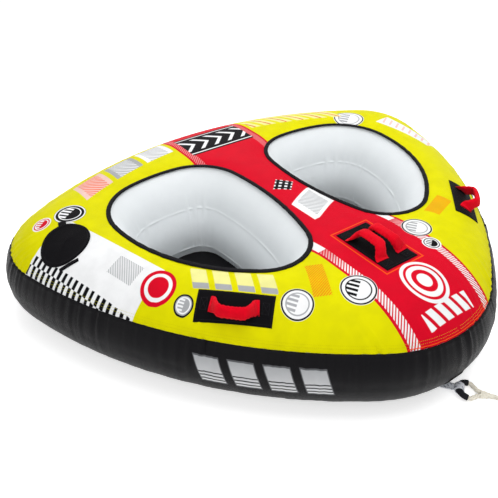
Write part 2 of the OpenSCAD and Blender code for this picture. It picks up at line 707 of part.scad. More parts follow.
module zip_pull()
    color("black")
    bridge_place()
        difference() {
            union() {
                translate([0, 0, -pull_eye_h / 2]) cylinder(r = bridge_r + pull_gap + pull_t, h = pull_eye_h);
                translate([-pull_t / 2, -pull_l, -pull_w / 2])
                    cube([pull_t, pull_l - bridge_r - pull_gap, pull_w]);
            }
            translate([0, 0, -pull_w]) cylinder(r = bridge_r + pull_gap, h = 2 * pull_w);
            translate([-pull_w, -bridge_r - pull_gap - pull_t - pull_gap, pull_eye_h / 2])
                cube([2 * pull_w, 4 * pull_w, pull_w]);
            translate([-pull_w, -bridge_r - pull_gap - pull_t - pull_gap, -pull_eye_h / 2 - pull_w])
                cube([2 * pull_w, 4 * pull_w, pull_w]);
        }

// Tow patch: laid on the nose over the two columns beside the centre line
tow_reach = 0.95;
tow_steps = low_rows - 2;
tow_angle = band_end * (low_rows - 1) / low_rows;
function nose_row(a, out) =
    let (s = lower(a), middle = side_point(0, s, out), beside = side_point(columns - 1, s, out),
         side = middle + tow_reach * (beside - middle))
    [side, middle, mirrored(side)];
module tow_patch() {
    angles = [for (k = [1:low_rows - 1]) band_end * k / low_rows];
    top = [for (a = angles) nose_row(a, cover_out + cover_gap + patch_t)];
    under = [for (a = angles) nose_row(a, cover_out + cover_gap)];
    color("black")
        solid(concat(
            strip(top, false), flipped(strip(under, false)),
            strip([under[0], top[0]], false), strip([top[tow_steps], under[tow_steps]], false),
            flipped(strip([[for (r = under) r[0]], [for (r = top) r[0]]], false)),
            flipped(strip([[for (r = top) r[2]], [for (r = under) r[2]]], false))));
}
// Tow strap: webbing from the patch's lower edge, turning aside as it comes down to the floor
strap_root = side_point(0, lower(tow_angle), cover_out + cover_gap + patch_t + cover_gap);
chafe_r = rope_d / 2 + rope_gap + chafe_t;
eye_reach = eye_r - sqrt(pow(eye_r - chafe_r, 2) - pow(fold_w / 2, 2));
eye_back = (eye_reach - chafe_r) / 2;
fold_bore = (eye_reach + chafe_r) / 2 + rope_gap;
fold_r = fold_bore + webbing_t;
fold_point = [strap_l * sin(tow_turn), strap_root[1] - strap_l * cos(tow_turn), fold_r];
strap_steps = 6;
strap_rows = [for (k = [0:strap_steps])
    let (t = k / strap_steps, end = [fold_point[0], fold_point[1], fold_r + webbing_t / 2]
             - (fold_r + cover_gap) * [sin(tow_turn), -cos(tow_turn), 0],
         h = tow_turn * ease(t), p = strap_root + (end - strap_root) * t,
         reach = (strap_w + (fold_w - strap_w) * ease(t)) / 2)
    [[p[0], p[1], strap_root[2] + (end[2] - strap_root[2]) * ease(t)], reach * [cos(h), sin(h), 0]]];
module tow_strap() {
    top = [for (r = strap_rows) [r[0] - r[1], r[0] + r[1]]];
    drop = [0, 0, webbing_t];
    under = [for (r = top) [r[0] - drop, r[1] - drop]];
    color("lightgray") solid(tube([for (k = [0:strap_steps]) [top[k][0], top[k][1], under[k][1], under[k][0]]]));
}
module tow_place()
    translate(fold_point) rotate([0, 0, 180 + tow_turn]) children();
module tow_strap_fold()
    color("lightgray")
    tow_place()
        translate([-fold_w / 2, 0, 0])
            rotate([0, 90, 0])
                difference() {
                    cylinder(r = fold_r, h = fold_w);
                    translate([0, 0, -1]) cylinder(r = fold_bore, h = fold_w + 2);
                }

module rope_place()
    tow_place() translate([0, -eye_back, 0]) children();

// Rope: rings square to a path that stays close to level
rope_sides = 8;
function path_rings(path, r) = [for (k = [0:len(path) - 1])
    let (along = unit(path[min(k + 1, len(path) - 1)] - path[max(k - 1, 0)]),
         right = unit(cross(along, [0, 0, 1])), up = cross(right, along))
    [for (i = [0:rope_sides - 1])
        let (a = 360 * i / rope_sides) path[k] + r * (cos(a) * right + sin(a) * up)]];
// Rope eye in the fold's frame: a half turn round the fold, then two legs that close on the splice
leg_x = rope_d / 2 + 0.4;
leg_end = 3;
eye_steps = 10;
leg_steps = 5;
rope_z = rope_d / 2 - fold_r;
function eye_drop(y) = rope_z * ease(min(1, max(0, y / eye_l)));
function leg(side) = [for (k = [1:leg_steps + 1])
    let (t = min(1, k / leg_steps), y = k > leg_steps ? eye_l : eye_r + (eye_l - leg_end - eye_r) * t)
    [side * (leg_x + (eye_r - leg_x) * (1 - ease(t))), y, eye_drop(y)]];
function eye_bend(reach) = [for (k = [0:eye_steps])
    let (a = reach * (2 * k / eye_steps - 1), y = eye_r * (1 - cos(a))) [eye_r * sin(a), y, eye_drop(y)]];
module rope_eye()
    color("bisque")
    rope_place() solid(tube(path_rings(concat(reversed(leg(-1)), eye_bend(90), leg(1)), rope_d / 2)));
chafe_reach = 50;
module chafe_sleeve() {
    bend = eye_bend(chafe_reach);
    color("black")
        rope_place() solid(shell(path_rings(bend, chafe_r), path_rings(bend, chafe_r - chafe_t)));
}
// Splice: a flat oval that takes both legs and narrows to the single rope
splice_steps = 5;
module rope_splice()
    color("bisque")
    rope_place()
        solid(tube([for (k = [0:splice_steps])
            let (t = k / splice_steps, w = leg_x + rope_d / 2 + (rope_d / 2 - leg_x - rope_d / 2) * ease(t),
                 c = [0, eye_l + rope_gap + splice_l * t, rope_z])
            [for (i = [0:rope_sides - 1])
                let (a = 360 * i / rope_sides) c + [w * cos(a), 0, rope_d / 2 * sin(a)]]]));
// Free rope on the floor, from the splice to its stopper knot
tow_ahead = [sin(tow_turn), -cos(tow_turn), 0];
rope_start = fold_point + [0, 0, rope_z] + (eye_l + splice_l + 2 * rope_gap - eye_back) * tow_ahead;
rope_steps = [
    [0, 0, 0], [9, -11, 0], [21, -22, 0], [36, -31, 0], [53, -37, 0], [73, -40, 0],
    [93, -40, 0], [111, -37, 1], [127, -32, 4], [141, -25, 7]
];
rope_route = [for (p = rope_steps) rope_start + p];
module tow_rope()
    color("bisque")
    solid(tube(path_rings(rope_route, rope_d / 2)));
// Stopper knot: the rope laid in three crossing lobes
knot_steps = 30;
knot_size = 9;
knot_turn = 26;
knot_reach = 25.5;
function knot_point(a) =
    let (r = knot_size * (1.5 + 0.9 * cos(3 * a))) [r * cos(2 * a), r * sin(2 * a), knot_size * sin(3 * a)];
module rope_knot() {
    end = rope_route[len(rope_route) - 1];
    rings = path_rings([for (k = [0:knot_steps]) knot_point(360 * k / knot_steps)], rope_d / 3);
    color("bisque")
        translate(end + knot_reach * [cos(knot_turn), sin(knot_turn), 0])
            rotate([0, 0, knot_turn - 60]) solid(strip(concat(rings, [rings[0]]), true));
}

bladder();
top_panel();
side_band();
bottom_panel();
left_rim_binding();
right_rim_binding();
left_grip_patch();
right_grip_patch();
centre_grip_patch();
left_grip_tabs();
right_grip_tabs();
centre_left_grip_tabs();
centre_right_grip_tabs();
left_grip_sleeve();
right_grip_sleeve();
centre_left_grip_sleeve();
centre_right_grip_sleeve();
left_grip_core();
right_grip_core();
centre_left_grip_core();
centre_right_grip_core();
valve_base();
valve_diaphragm();
valve_cap();
valve_tether();
valve_flap();
valve_flap_tab();
valve_flap_hem();
zip_tape();
zip_teeth();
zip_slider();
zip_pull();
tow_patch();
tow_strap();
tow_strap_fold();
chafe_sleeve();
rope_eye();
rope_splice();
tow_rope();
rope_knot();
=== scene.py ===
"""Studio scene of a two-rider towable tube, dressed over its CAD frame.

Sizes are in metres, +Z up, with the nose and the tow strap towards -Y and the left cockpit at -X.
"""

import json
import logging
import math
from dataclasses import dataclass, field
from enum import Enum
from functools import cache
from typing import Any, Sequence, Union

import bmesh
import bpy
import numpy as np
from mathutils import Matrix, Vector

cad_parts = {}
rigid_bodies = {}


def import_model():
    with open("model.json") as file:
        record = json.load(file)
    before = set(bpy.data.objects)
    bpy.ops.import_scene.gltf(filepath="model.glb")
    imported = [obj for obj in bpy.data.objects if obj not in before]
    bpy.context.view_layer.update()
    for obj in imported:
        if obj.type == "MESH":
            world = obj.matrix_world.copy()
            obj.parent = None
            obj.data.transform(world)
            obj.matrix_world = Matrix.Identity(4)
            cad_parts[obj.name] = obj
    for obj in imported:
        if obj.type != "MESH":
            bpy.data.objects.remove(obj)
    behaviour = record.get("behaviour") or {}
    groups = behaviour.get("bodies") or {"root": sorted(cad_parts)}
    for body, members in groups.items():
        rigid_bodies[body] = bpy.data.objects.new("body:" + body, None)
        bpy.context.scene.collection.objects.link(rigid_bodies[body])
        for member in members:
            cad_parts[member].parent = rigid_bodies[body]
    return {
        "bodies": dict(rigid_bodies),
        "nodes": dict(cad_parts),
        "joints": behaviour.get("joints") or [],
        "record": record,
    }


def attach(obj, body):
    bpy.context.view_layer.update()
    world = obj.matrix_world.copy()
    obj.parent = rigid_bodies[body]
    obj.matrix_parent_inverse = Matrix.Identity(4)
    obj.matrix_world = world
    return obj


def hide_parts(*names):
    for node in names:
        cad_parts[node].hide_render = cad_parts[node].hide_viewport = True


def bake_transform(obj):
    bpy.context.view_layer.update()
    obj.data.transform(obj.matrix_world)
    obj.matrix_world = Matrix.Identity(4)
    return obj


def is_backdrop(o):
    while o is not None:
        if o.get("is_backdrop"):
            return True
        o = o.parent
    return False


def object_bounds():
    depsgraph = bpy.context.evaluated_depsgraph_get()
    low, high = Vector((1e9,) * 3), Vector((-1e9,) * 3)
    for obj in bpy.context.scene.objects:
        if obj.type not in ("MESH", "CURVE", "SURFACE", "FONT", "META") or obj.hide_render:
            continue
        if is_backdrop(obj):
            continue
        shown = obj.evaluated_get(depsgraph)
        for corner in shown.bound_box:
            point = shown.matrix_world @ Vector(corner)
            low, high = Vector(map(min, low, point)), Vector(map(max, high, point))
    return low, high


LOG = logging.getLogger("tube")
TINY = 1e-9
NEAR = 1e-6
HALVINGS = 40
CHUNK = 4000
FINE_TURNS = 7201
EDGE_SHARE = 0.2
EDGE_WIDTH = 0.0015
MIX_SHARE, MIX_FROM, MIX_TO, MIX_RESULT = 0, 6, 7, 2

Array = np.ndarray
Pair = tuple[float, float]
Triple = tuple[float, float, float]
Frame = dict[str, Any]
Colour = Triple
Piece = bpy.types.Object
Material = bpy.types.Material
Tree = bpy.types.NodeTree
Socket = bpy.types.NodeSocket
Nodes = dict[str, Piece]
Paint = Union[Colour, Socket]


class Side(Enum):
    """Half of the tube, as the sign of its X."""

    LEFT = -1
    RIGHT = 1

    @property
    def label(self) -> str:
        """Returns: the side's word in piece names."""
        return self.name.lower()


# Plane geometry


def heading(angle: Any) -> Array:
    """Unit plan vectors."""
    radians = np.radians(np.asarray(angle, float))
    return np.stack([np.cos(radians), np.sin(radians)], axis=-1)


def unit(vectors: Array) -> Array:
    """Scales vectors to length 1."""
    return vectors / np.linalg.norm(vectors, axis=-1, keepdims=True)


def ease(share: Any) -> Any:
    """Slow start and slow end."""
    return (1 - np.cos(np.pi * np.clip(share, 0, 1))) / 2


def bump(distance: Any, width: float) -> Any:
    """A smooth hump."""
    return np.exp(-((distance / width) ** 2))


def through(points: Sequence[Sequence[float]], step: float) -> Array:
    """A smooth line through points.

    Args:
        points: The points that it passes.
        step: About the distance between the points that it returns.

    Returns:
        Points along the line.
    """
    p = np.asarray(points, float)
    p = np.concatenate([[2 * p[0] - p[1]], p, [2 * p[-1] - p[-2]]])
    line = []
    for a, b, c, d in zip(p, p[1:], p[2:], p[3:]):
        count = max(1, int(round(np.linalg.norm((c - b)[:3]) / step)))
        for t in np.arange(count) / count:
            line.append(
                b
                + (c - a) * t / 2
                + (2 * a - 5 * b + 4 * c - d) * t * t / 2
                + (3 * b - a - 3 * c + d) * t**3 / 2
            )
    return np.array([*line, p[-2]])


def run_of(line: Array) -> Array:
    """Returns: the way along a line of points to each of them."""
    return np.concatenate([[0], np.cumsum(np.linalg.norm(np.diff(line, axis=0), axis=1))])


class Ripple:
    """Irregular waves along a closed length, as sewn cloth shows."""

    COUNT = 12
    PEAK = 3.4

    def __init__(self, seed: int, length: float, shortest: float, longest: float) -> None:
        """Picks the waves.

        Args:
            seed: Seed of the choice.
            length: Length after which the waves repeat.
            shortest: Shortest wave.
            longest: Longest wave.
        """
        choice = np.random.default_rng(seed)
        waves = np.round(length / choice.uniform(shortest, longest, self.COUNT))
        self.numbers = 2 * np.pi * waves / length
        self.phases = choice.uniform(0, 2 * np.pi, self.COUNT)

    def __call__(self, run: Array) -> Array:
        """Height of the waves."""
        return np.sin(run[..., None] * self.numbers + self.phases).sum(-1) / self.PEAK


class Outline:
    """A convex plan curve: corner circles joined by larger tangent arcs."""

    def __init__(self, corners: Sequence[Sequence[float]], sides: Sequence[float]) -> None:
        """Joins the corners.

        Args:
            corners: Anticlockwise corner circles (x, y, radius).
            sides: Radius of the arc after each corner.
        """
        n = len(corners)
        spots = np.array([c[:2] for c in corners])
        mids = [self._tangent(corners[k], corners[(k + 1) % n], sides[k]) for k in range(n)]
        arcs = []
        for k in range(n):
            first, middle, last = (
                math.degrees(math.atan2(v[1], v[0]))
                for v in (
                    spots[k] - mids[k - 1],
                    spots[k] - mids[k],
                    spots[(k + 1) % n] - mids[k],
                )
            )
            arcs.append((first, (middle - first) % 360, *spots[k], corners[k][2]))
            arcs.append((middle, (last - middle) % 360, *mids[k], sides[k]))
        table = np.array(arcs)
        self.first, self.span, self.radius = table[:, 0], table[:, 1], table[:, 4]
        self.centre = table[:, 2:4]
        turns = np.arange(0, 360, 1.0)
        self.normals = heading(turns)
        self.support = (self.at(turns) * self.normals).sum(-1)

    @staticmethod
    def _tangent(a: Sequence[float], b: Sequence[float], r: float) -> Array:
        """Centre of the arc of radius r that holds both circles inside it.

        Args:
            a: First circle.
            b: Second circle.
            r: Radius of the arc.

        Returns:
            The centre.
        """
        start = np.array(a[:2])
        d = np.array(b[:2]) - start
        length = np.linalg.norm(d)
        e, ra, rb = d / length, r - a[2], r - b[2]
        u = (ra * ra - rb * rb + length * length) / (2 * length)
        return start + e * u + np.array([-e[1], e[0]]) * math.sqrt(ra * ra - u * u)

    def at(self, angle: Any, out: Any = 0.0) -> Array:
        """Points of the curve by normal angle.

        Args:
            angle: Angles of the normals in degrees.
            out: Distance outside the curve.

        Returns:
            Plan points.
        """
        a = np.asarray(angle, float)
        inside = np.mod(a[..., None] - self.first, 360) <= self.span + NEAR
        k = inside.argmax(-1)
        return self.centre[k] + (self.radius[k] + out)[..., None] * heading(a)

    def aim(self, origin: Array, ahead: Array, out: float) -> Array:
        """Normal angles of the points that lie ahead of an origin.

        Args:
            origin: A plan point inside the curve.
            ahead: Headings in degrees.
            out: Distance outside the curve.

        Returns:
            Normal angles in degrees.
        """
        low, high, e = ahead - 90.0, ahead + 90.0, heading(ahead)
        for _ in range(HALVINGS):
            middle = (low + high) / 2
            p = self.at(middle, out) - origin
            past = e[:, 0] * p[:, 1] - e[:, 1] * p[:, 0] > 0
            high, low = np.where(past, middle, high), np.where(past, low, middle)
        return (low + high) / 2

    def outside(self, points: Array) -> tuple[Array, Array]:
        """Signed distance from the curve.

        Args:
            points: Plan points, (n, 2).

        Returns:
            Distances, positive outside, and the curve's normals nearest them.
        """
        distance, nearest = np.empty(len(points)), np.empty((len(points), 2))
        for k in range(0, len(points), CHUNK):
            d = points[k : k + CHUNK] @ self.normals.T - self.support
            best = d.argmax(1)
            distance[k : k + CHUNK] = d[np.arange(len(d)), best]
            nearest[k : k + CHUNK] = self.normals[best]
        return distance, nearest

    def even(self, count: int) -> tuple[Array, Array, float]:
        """Normal angles spaced evenly along the curve.

        Args:
            count: How many.

        Returns:
            The angles, the run along the curve to each, and the curve's length.
        """
        fine = np.linspace(0, 360, FINE_TURNS)
        run = run_of(self.at(fine))
        places = np.arange(count) / count * run[-1]
        return np.interp(places, run, fine), places, float(run[-1])


# The hull's form


@dataclass
class Columns:
    """Lines of the left half, from the cockpit rim to the centre line or the seam."""

    rim: Array
    seam: Array
    start: Array
    end: Array
    run: Array
    on_seam: Array

    @property
    def edge(self) -> Array:
        """Returns: the numbers of the lines that end on the seam, in its order."""
        return np.append(np.flatnonzero(self.on_seam)[1:], 0)


@dataclass
class Hull:
    """The tube's form: plan outlines, side section and deck."""

    nose_y: float = -0.702
    nose_r: float = 0.388
    corner: Triple = (0.602, 0.279, 0.253)
    side_r: float = 1.533
    rear_r: float = 1.359
    crown_z: float = 0.325
    crown_run: float = 0.210
    bulge: float = 0.030
    bulge_z: float = 0.142
    tuck: float = 0.095
    band_end: float = 78.0
    base_z: float = 0.0015
    rim_z: float = 0.315
    rim_soft: float = 0.068
    crown_end: float = 0.999
    rim_corners: tuple[Triple, ...] = (
        (-0.250, -0.154, 0.148),
        (-0.251, 0.203, 0.171),
        (-0.367, 0.162, 0.202),
    )
    rim_sides: tuple[float, ...] = (0.982, 0.531, 0.539)
    cover_out: float = 0.0015
    centre_columns: int = 56
    seam_columns: int = 264
    seam: Outline = field(init=False)
    rim: Outline = field(init=False)

    def __post_init__(self) -> None:
        """Makes the outlines."""
        x, y, r = self.corner
        self.seam = Outline(
            [(0, self.nose_y + self.nose_r, self.nose_r), (x, y, r), (-x, y, r)],
            [self.side_r, self.rear_r, self.side_r],
        )
        self.rim = Outline(self.rim_corners, self.rim_sides)
        self.rear_y = float(self.seam.at(np.array([90.0]))[0, 1])
        self.cockpit = np.mean([c[:2] for c in self.rim_corners], axis=0)
        self.crown_a = self.crown_run + self.bulge
        self.crown_b = self.crown_z - self.bulge_z
        self.low_a = self.bulge + self.tuck
        self.low_b = self.bulge_z - self.base_z
        self.seam_angle = math.degrees(math.asin(self.crown_run / self.crown_a))

    def upper(self, angle: Any) -> Array:
        """Section curve over the widest line.

        Args:
            angle: Angles in degrees, 90 on the widest line.

        Returns:
            Rows of (out from the seam, height, normal out, normal up).
        """
        a = np.radians(np.atleast_1d(np.asarray(angle, float)))
        n = unit(np.stack([np.sin(a) / self.crown_a, np.cos(a) / self.crown_b], -1))
        out = self.crown_a * np.sin(a) - self.crown_run
        return np.column_stack([out, self.bulge_z + self.crown_b * np.cos(a), n])

    def lower(self, angle: Any) -> Array:
        """Section curve under the widest line.

        Args:
            angle: Angles in degrees, 0 on the widest line and 90 underneath.

        Returns:
            Rows of (out from the seam, height, normal out, normal up).
        """
        a = np.radians(np.atleast_1d(np.asarray(angle, float)))
        n = unit(np.stack([np.cos(a) / self.low_a, -np.sin(a) / self.low_b], -1))
        out = self.low_a * np.cos(a) - self.tuck
        return np.column_stack([out, self.bulge_z - self.low_b * np.sin(a), n])

    def side(self, section: Array, angles: Array, out: Any) -> Array:
        """Points of the side or underside.

        Args:
            section: Rows of a section curve.
            angles: Normal angles on the seam.
            out: Distance off the form, as a number or one for each point.

        Returns:
            Points, one row for each section row.
        """
        off = np.broadcast_to(np.asarray(out, float), (len(section), len(angles)))
        reach = section[:, None, 0] + off * section[:, None, 2]
        plan = self.seam.at(np.broadcast_to(angles, reach.shape), reach)
        z = section[:, None, 1] + off * section[:, None, 3]
        return np.concatenate([plan, z[..., None]], -1)

    def deck(self, plan: Array) -> tuple[Array, Array]:
        """The deck over plan points.

        Args:
            plan: Plan points, with any shape before the last axis.

        Returns:
            Deck points, and the form's normals there.
        """
        p = plan.reshape(-1, 2)
        out, n = self.seam.outside(p)
        across = np.clip((self.crown_run + out) / self.crown_a, 0, self.crown_end)
        down = np.sqrt(1 - across * across)
        folded = np.column_stack([-np.abs(p[:, 0]), p[:, 1]])
        roll = 1 - np.clip(self.rim.outside(folded)[0] / self.rim_soft, 0, 1)
        z = self.bulge_z + self.crown_b * down - (self.crown_z - self.rim_z) * roll * roll
        normal = np.column_stack([n * (across / self.crown_a)[:, None], down / self.crown_b])
        shape = (*plan.shape[:-1], 3)
        return np.column_stack([p, z]).reshape(shape), unit(normal).reshape(shape)

    def seat(self, plan: Any, lift: Any = 0.0) -> Array:
        """Points on the cover's outer face.

        Args:
            plan: Plan points.
            lift: Height over the face.

        Returns:
            Points on the face.
        """
        points, normals = self.deck(np.asarray(plan, float))
        points[..., 2] += self.cover_out / normals[..., 2] + lift
        return points

    def columns(self, edge: float) -> Columns:
        """Lines round the left cockpit.

        Args:
            edge: Distance outside the rim where they start.

        Returns:
            The lines, the first n of them ending on the centre line.
        """
        fine = np.linspace(90, 270, FINE_TURNS // 2 + 1)
        run = run_of(self.seam.at(fine))
        share = (run / run[-1] + (fine - 90) / 180) / 2
        seam = np.interp(np.arange(self.seam_columns) / self.seam_columns, share, fine)
        along = ease(np.arange(self.centre_columns) / self.centre_columns)
        middle = np.column_stack([0 * along, self.nose_y + (self.rear_y - self.nose_y) * along])
        end = np.concatenate([middle, self.seam.at(seam)])
        end[np.abs(end[:, 0]) < NEAR, 0] = 0
        way = end - self.cockpit
        rim = self.rim.aim(self.cockpit, np.degrees(np.arctan2(way[:, 1], way[:, 0])), edge)
        on_seam = np.arange(len(end)) >= self.centre_columns
        on_seam[0] = True
        angles = np.concatenate([[270.0], np.full(self.centre_columns - 1, 90.0), seam])
        runs = np.concatenate([[run[-1]], middle[1:, 1], np.interp(seam, fine, run)])
        return Columns(rim, angles, self.rim.at(rim, edge), end, runs, on_seam)


# Meshes


@dataclass(frozen=True)
class Stitch:
    """Length from stitch to stitch, and half the thickness of the thread."""

    pitch: float
    thick: float


SEAM_STITCH = Stitch(0.0055, 0.0006)
STRAP_STITCH = Stitch(0.005, 0.0006)
BOX_STITCH = Stitch(0.004, 0.0006)
HEM_STITCH = Stitch(0.0045, 0.0005)
ZIP_STITCH = Stitch(0.005, 0.0005)
STITCH_REACH = 0.4
STITCH_LOOK = 0.0005
STITCH_UP = (0.12, 0.05, 1.0)
STITCH_FACES = np.array(
    [[0, 2, 1], [0, 3, 2], [0, 4, 3], [0, 1, 4], [5, 1, 2], [5, 2, 3], [5, 3, 4], [5, 4, 1]]
)
WELD = 0.00002
FINE_WELD = 0.00001
HALVES = (np.array([1, 1, 1]), np.array([-1, 1, 1]))


class MeshMaker:
    """Gathers grids, tubes and stitches into one mesh."""

    def __init__(self) -> None:
        """Starts with nothing."""
        self._points: list[Array] = []
        self._uvs: list[Array] = []
        self._faces: list[tuple[int, ...]] = []
        self._count = 0

    def _add(self, points: Array, faces: Array, uv: Union[Array, None]) -> None:
        """Takes in points and faces.

        Args:
            points: Points of any grid shape.
            faces: Corner numbers within those points.
            uv: A pair for each point, or None.
        """
        flat = points.reshape(-1, 3)
        self._points.append(flat)
        self._uvs.append(np.zeros((len(flat), 2)) if uv is None else np.asarray(uv).reshape(-1, 2))
        self._faces += [tuple(f) for f in (np.asarray(faces) + self._count).tolist()]
        self._count += len(flat)

    def grid(self, points: Array, wrap: bool = False, uv: Union[Array, None] = None) -> "MeshMaker":
        """Adds a grid of quads.

        Args:
            points: Rows of points.
            wrap: Whether each row closes on itself.
            uv: A pair for each point, or None.

        Returns:
            The maker.
        """
        rows, wide = points.shape[:2]
        index = np.arange(rows * wide).reshape(rows, wide)
        if wrap:
            index = np.concatenate([index, index[:, :1]], 1)
        quads = np.stack([index[:-1, :-1], index[1:, :-1], index[1:, 1:], index[:-1, 1:]], -1)
        self._add(points, quads.reshape(-1, 4), uv)
        return self

    def shell(self, outer: Array, inner: Array, wrap: bool = False) -> "MeshMaker":
        """Adds a closed skin between two grids.

        Args:
            outer: Rows of the outer face.
            inner: Rows of the inner face.
            wrap: Whether each row closes on itself.

        Returns:
            The maker.
        """
        if wrap:
            return self.grid(np.concatenate([outer, inner[::-1], outer[:1]]), True)
        loop = np.concatenate([outer, inner[:, ::-1]], 1)
        self.grid(loop, True)
        for row in (0, -1):
            self.grid(np.stack([outer[row], inner[row]]))
        return self

    def tube(self, rings: Array, uv: Union[Array, None] = None) -> "MeshMaker":
        """Adds a tube with closed ends.

        Args:
            rings: Rings of points.
            uv: A pair for each point, or None.

        Returns:
            The maker.
        """
        start = self._count
        self.grid(rings, True, uv)
        n, m = rings.shape[:2]
        self._faces.append(tuple(range(start, start + m)))
        self._faces.append(tuple(range(start + (n - 1) * m, start + n * m))[::-1])
        return self

    def stitches(self, line: Array, stitch: Stitch) -> "MeshMaker":
        """Adds a row of sewn stitches.

        Args:
            line: Points of the seam.
            stitch: Size of the stitches.

        Returns:
            The maker.
        """
        run, thick, reach = run_of(line), stitch.thick, stitch.pitch * STITCH_REACH
        places = np.arange(stitch.pitch / 2, run[-1], stitch.pitch)
        spot = np.stack([np.interp(places, run, line[:, k]) for k in range(3)], -1)
        places = places + STITCH_LOOK
        ahead = np.stack([np.interp(places, run, line[:, k]) for k in range(3)], -1)
        e = unit(ahead - spot + TINY)
        aside = unit(np.cross(e, STITCH_UP))
        up = np.cross(aside, e)
        middle = [aside * thick, up * thick, -aside * thick, -up * thick]
        points = np.stack([spot + way for way in (-e * reach, *middle, e * reach)], 1)
        first = points.shape[1] * np.arange(len(points))
        faces = STITCH_FACES[None] + first[:, None, None]
        self._add(points, faces.reshape(-1, 3), None)
        return self

    def build(
        self, name: str, weld: float = 0.0, sharp: float = 50.0, mirror: bool = False
    ) -> Piece:
        """Makes the object.

        Args:
            name: Name of the piece.
            weld: Distance within which points become one.
            sharp: Angle from which an edge shows, in degrees.
            mirror: Whether the piece is turned over to the other side of X 0.

        Returns:
            The object, in the scene.
        """
        mesh = bpy.data.meshes.new(name)
        points = np.concatenate(self._points) * HALVES[mirror]
        mesh.from_pydata(points.tolist(), [], self._faces)
        corner = np.empty(len(mesh.loops), np.int32)
        mesh.loops.foreach_get("vertex_index", corner)
        layer = mesh.uv_layers.new(name="UVMap")
        layer.data.foreach_set("uv", np.concatenate(self._uvs)[corner].astype(np.float32).ravel())
        work = bmesh.new()
        work.from_mesh(mesh)
        if weld:
            bmesh.ops.remove_doubles(work, verts=work.verts, dist=weld)
        bmesh.ops.recalc_face_normals(work, faces=work.faces)
        work.to_mesh(mesh)
        work.free()
        mesh.polygons.foreach_set("use_smooth", np.ones(len(mesh.polygons), bool))
        mesh.set_sharp_from_angle(angle=math.radians(sharp))
        piece = bpy.data.objects.new(name, mesh)
        bpy.context.scene.collection.objects.link(piece)
        return piece


def rings_along(path: Array, section: Array, up: Any = (0.0, 0.0, 1.0)) -> Array:
    """Rings square to a path.

    Args:
        path: Points of the path.
        section: (across, up) pairs, for all rings or for each ring.
        up: The direction that the section's second part leans towards.

    Returns:
        One ring for each point.
    """
    along = unit(np.gradient(path, axis=0))
    right = unit(np.cross(along, np.broadcast_to(up, path.shape)))
    over = np.cross(right, along)
    s = np.broadcast_to(section, (len(path), *np.shape(section)[-2:]))
    return path[:, None] + s[..., :1] * right[:, None] + s[..., 1:] * over[:, None]


def circle(radius: float, count: int) -> Array:
    """A round section."""
    return radius * heading(np.arange(count) * 360 / count)


def cut(piece: Piece, tools: Sequence[Piece]) -> None:
    """Cuts holes in a closed piece.

    Args:
        piece: The piece.
        tools: Closed shapes to take away, which are removed after.
    """
    for tool in tools:
        hole = piece.modifiers.new("Hole", "BOOLEAN")
        hole.object, hole.operation, hole.solver = tool, "DIFFERENCE", "EXACT"
    graph = bpy.context.evaluated_depsgraph_get()
    mesh = bpy.data.meshes.new_from_object(piece.evaluated_get(graph))
    piece.modifiers.clear()
    piece.data = mesh
    for tool in tools:
        bpy.data.objects.remove(tool)


SIM_SCALE = 10.0
SIM_FRAMES = 16
SIM_QUALITY = 6
SIM_SHRINK = -0.06


def swell(piece: Piece, held: Sequence[int], press: float, cap: float) -> None:
    """Fills a sewn skin in a short cloth simulation and keeps the result.

    Args:
        piece: The piece.
        held: Numbers of its points that stay in place.
        press: Pressure of its filling.
        cap: How far a point may move.
    """
    scene, mesh = bpy.context.scene, piece.data
    before = np.empty((len(mesh.vertices), 3))
    mesh.vertices.foreach_get("co", before.ravel())
    middle = before.mean(0)
    mesh.vertices.foreach_set("co", ((before - middle) * SIM_SCALE).ravel())
    sewn = piece.vertex_groups.new(name="sewn")
    sewn.add(list(held), 1.0, "REPLACE")
    cloth = piece.modifiers.new("Swell", "CLOTH")
    cloth.collision_settings.use_collision = False
    cloth.point_cache.frame_end = SIM_FRAMES
    rules = cloth.settings
    rules.quality, rules.vertex_group_mass = SIM_QUALITY, sewn.name
    rules.use_pressure, rules.uniform_pressure_force = True, press
    rules.shrink_min, rules.effector_weights.gravity = SIM_SHRINK, 0.0
    for frame in range(1, SIM_FRAMES + 1):
        scene.frame_set(frame)
    filled = piece.evaluated_get(bpy.context.evaluated_depsgraph_get()).to_mesh()
    after = np.empty_like(before)
    filled.vertices.foreach_get("co", after.ravel())
    move = after / SIM_SCALE + middle - before
    size = np.linalg.norm(move, axis=1, keepdims=True)
    move *= cap * np.tanh(size / cap) / np.maximum(size, TINY)
    piece.modifiers.clear()
    piece.vertex_groups.clear()
    mesh.vertices.foreach_set("co", (before + move).ravel())
    mesh.update()
    scene.frame_set(1)


# Finishes


def ink(red: int, green: int, blue: int) -> Colour:
    """A colour as seen on a screen.

    Args:
        red: 0 to 255.
        green: 0 to 255.
        blue: 0 to 255.

    Returns:
        The linear colour.
    """
    parts = [v / 255 for v in (red, green, blue)]
    linear = [v / 12.92 if v <= 0.04045 else ((v + 0.055) / 1.055) ** 2.4 for v in parts]
    return linear[0], linear[1], linear[2]


def dimmed(colour: Colour, share: float) -> Colour:
    """Returns: a colour with a share of its brightness."""
    return colour[0] * share, colour[1] * share, colour[2] * share


YELLOW = ink(221, 216, 0)
RED = ink(212, 8, 37)
BLACK = ink(12, 11, 14)
WHITE = ink(240, 241, 242)
ORANGE = ink(240, 84, 22)
SILVER = ink(168, 170, 173)
STEEL = ink(90, 91, 94)
CREAM = ink(236, 233, 150)
PINK = ink(238, 200, 192)
GRIME = ink(22, 22, 24)


def feed(tree: Tree, socket: Socket, value: Any) -> None:
    """Links an input to a field or a socket, or gives it a value.

    Args:
        tree: The node tree.
        socket: The input.
        value: What it gets.
    """
    if isinstance(value, Field):
        value = value.socket
    if isinstance(value, Socket):
        tree.links.new(value, socket)
    else:
        socket.default_value = value


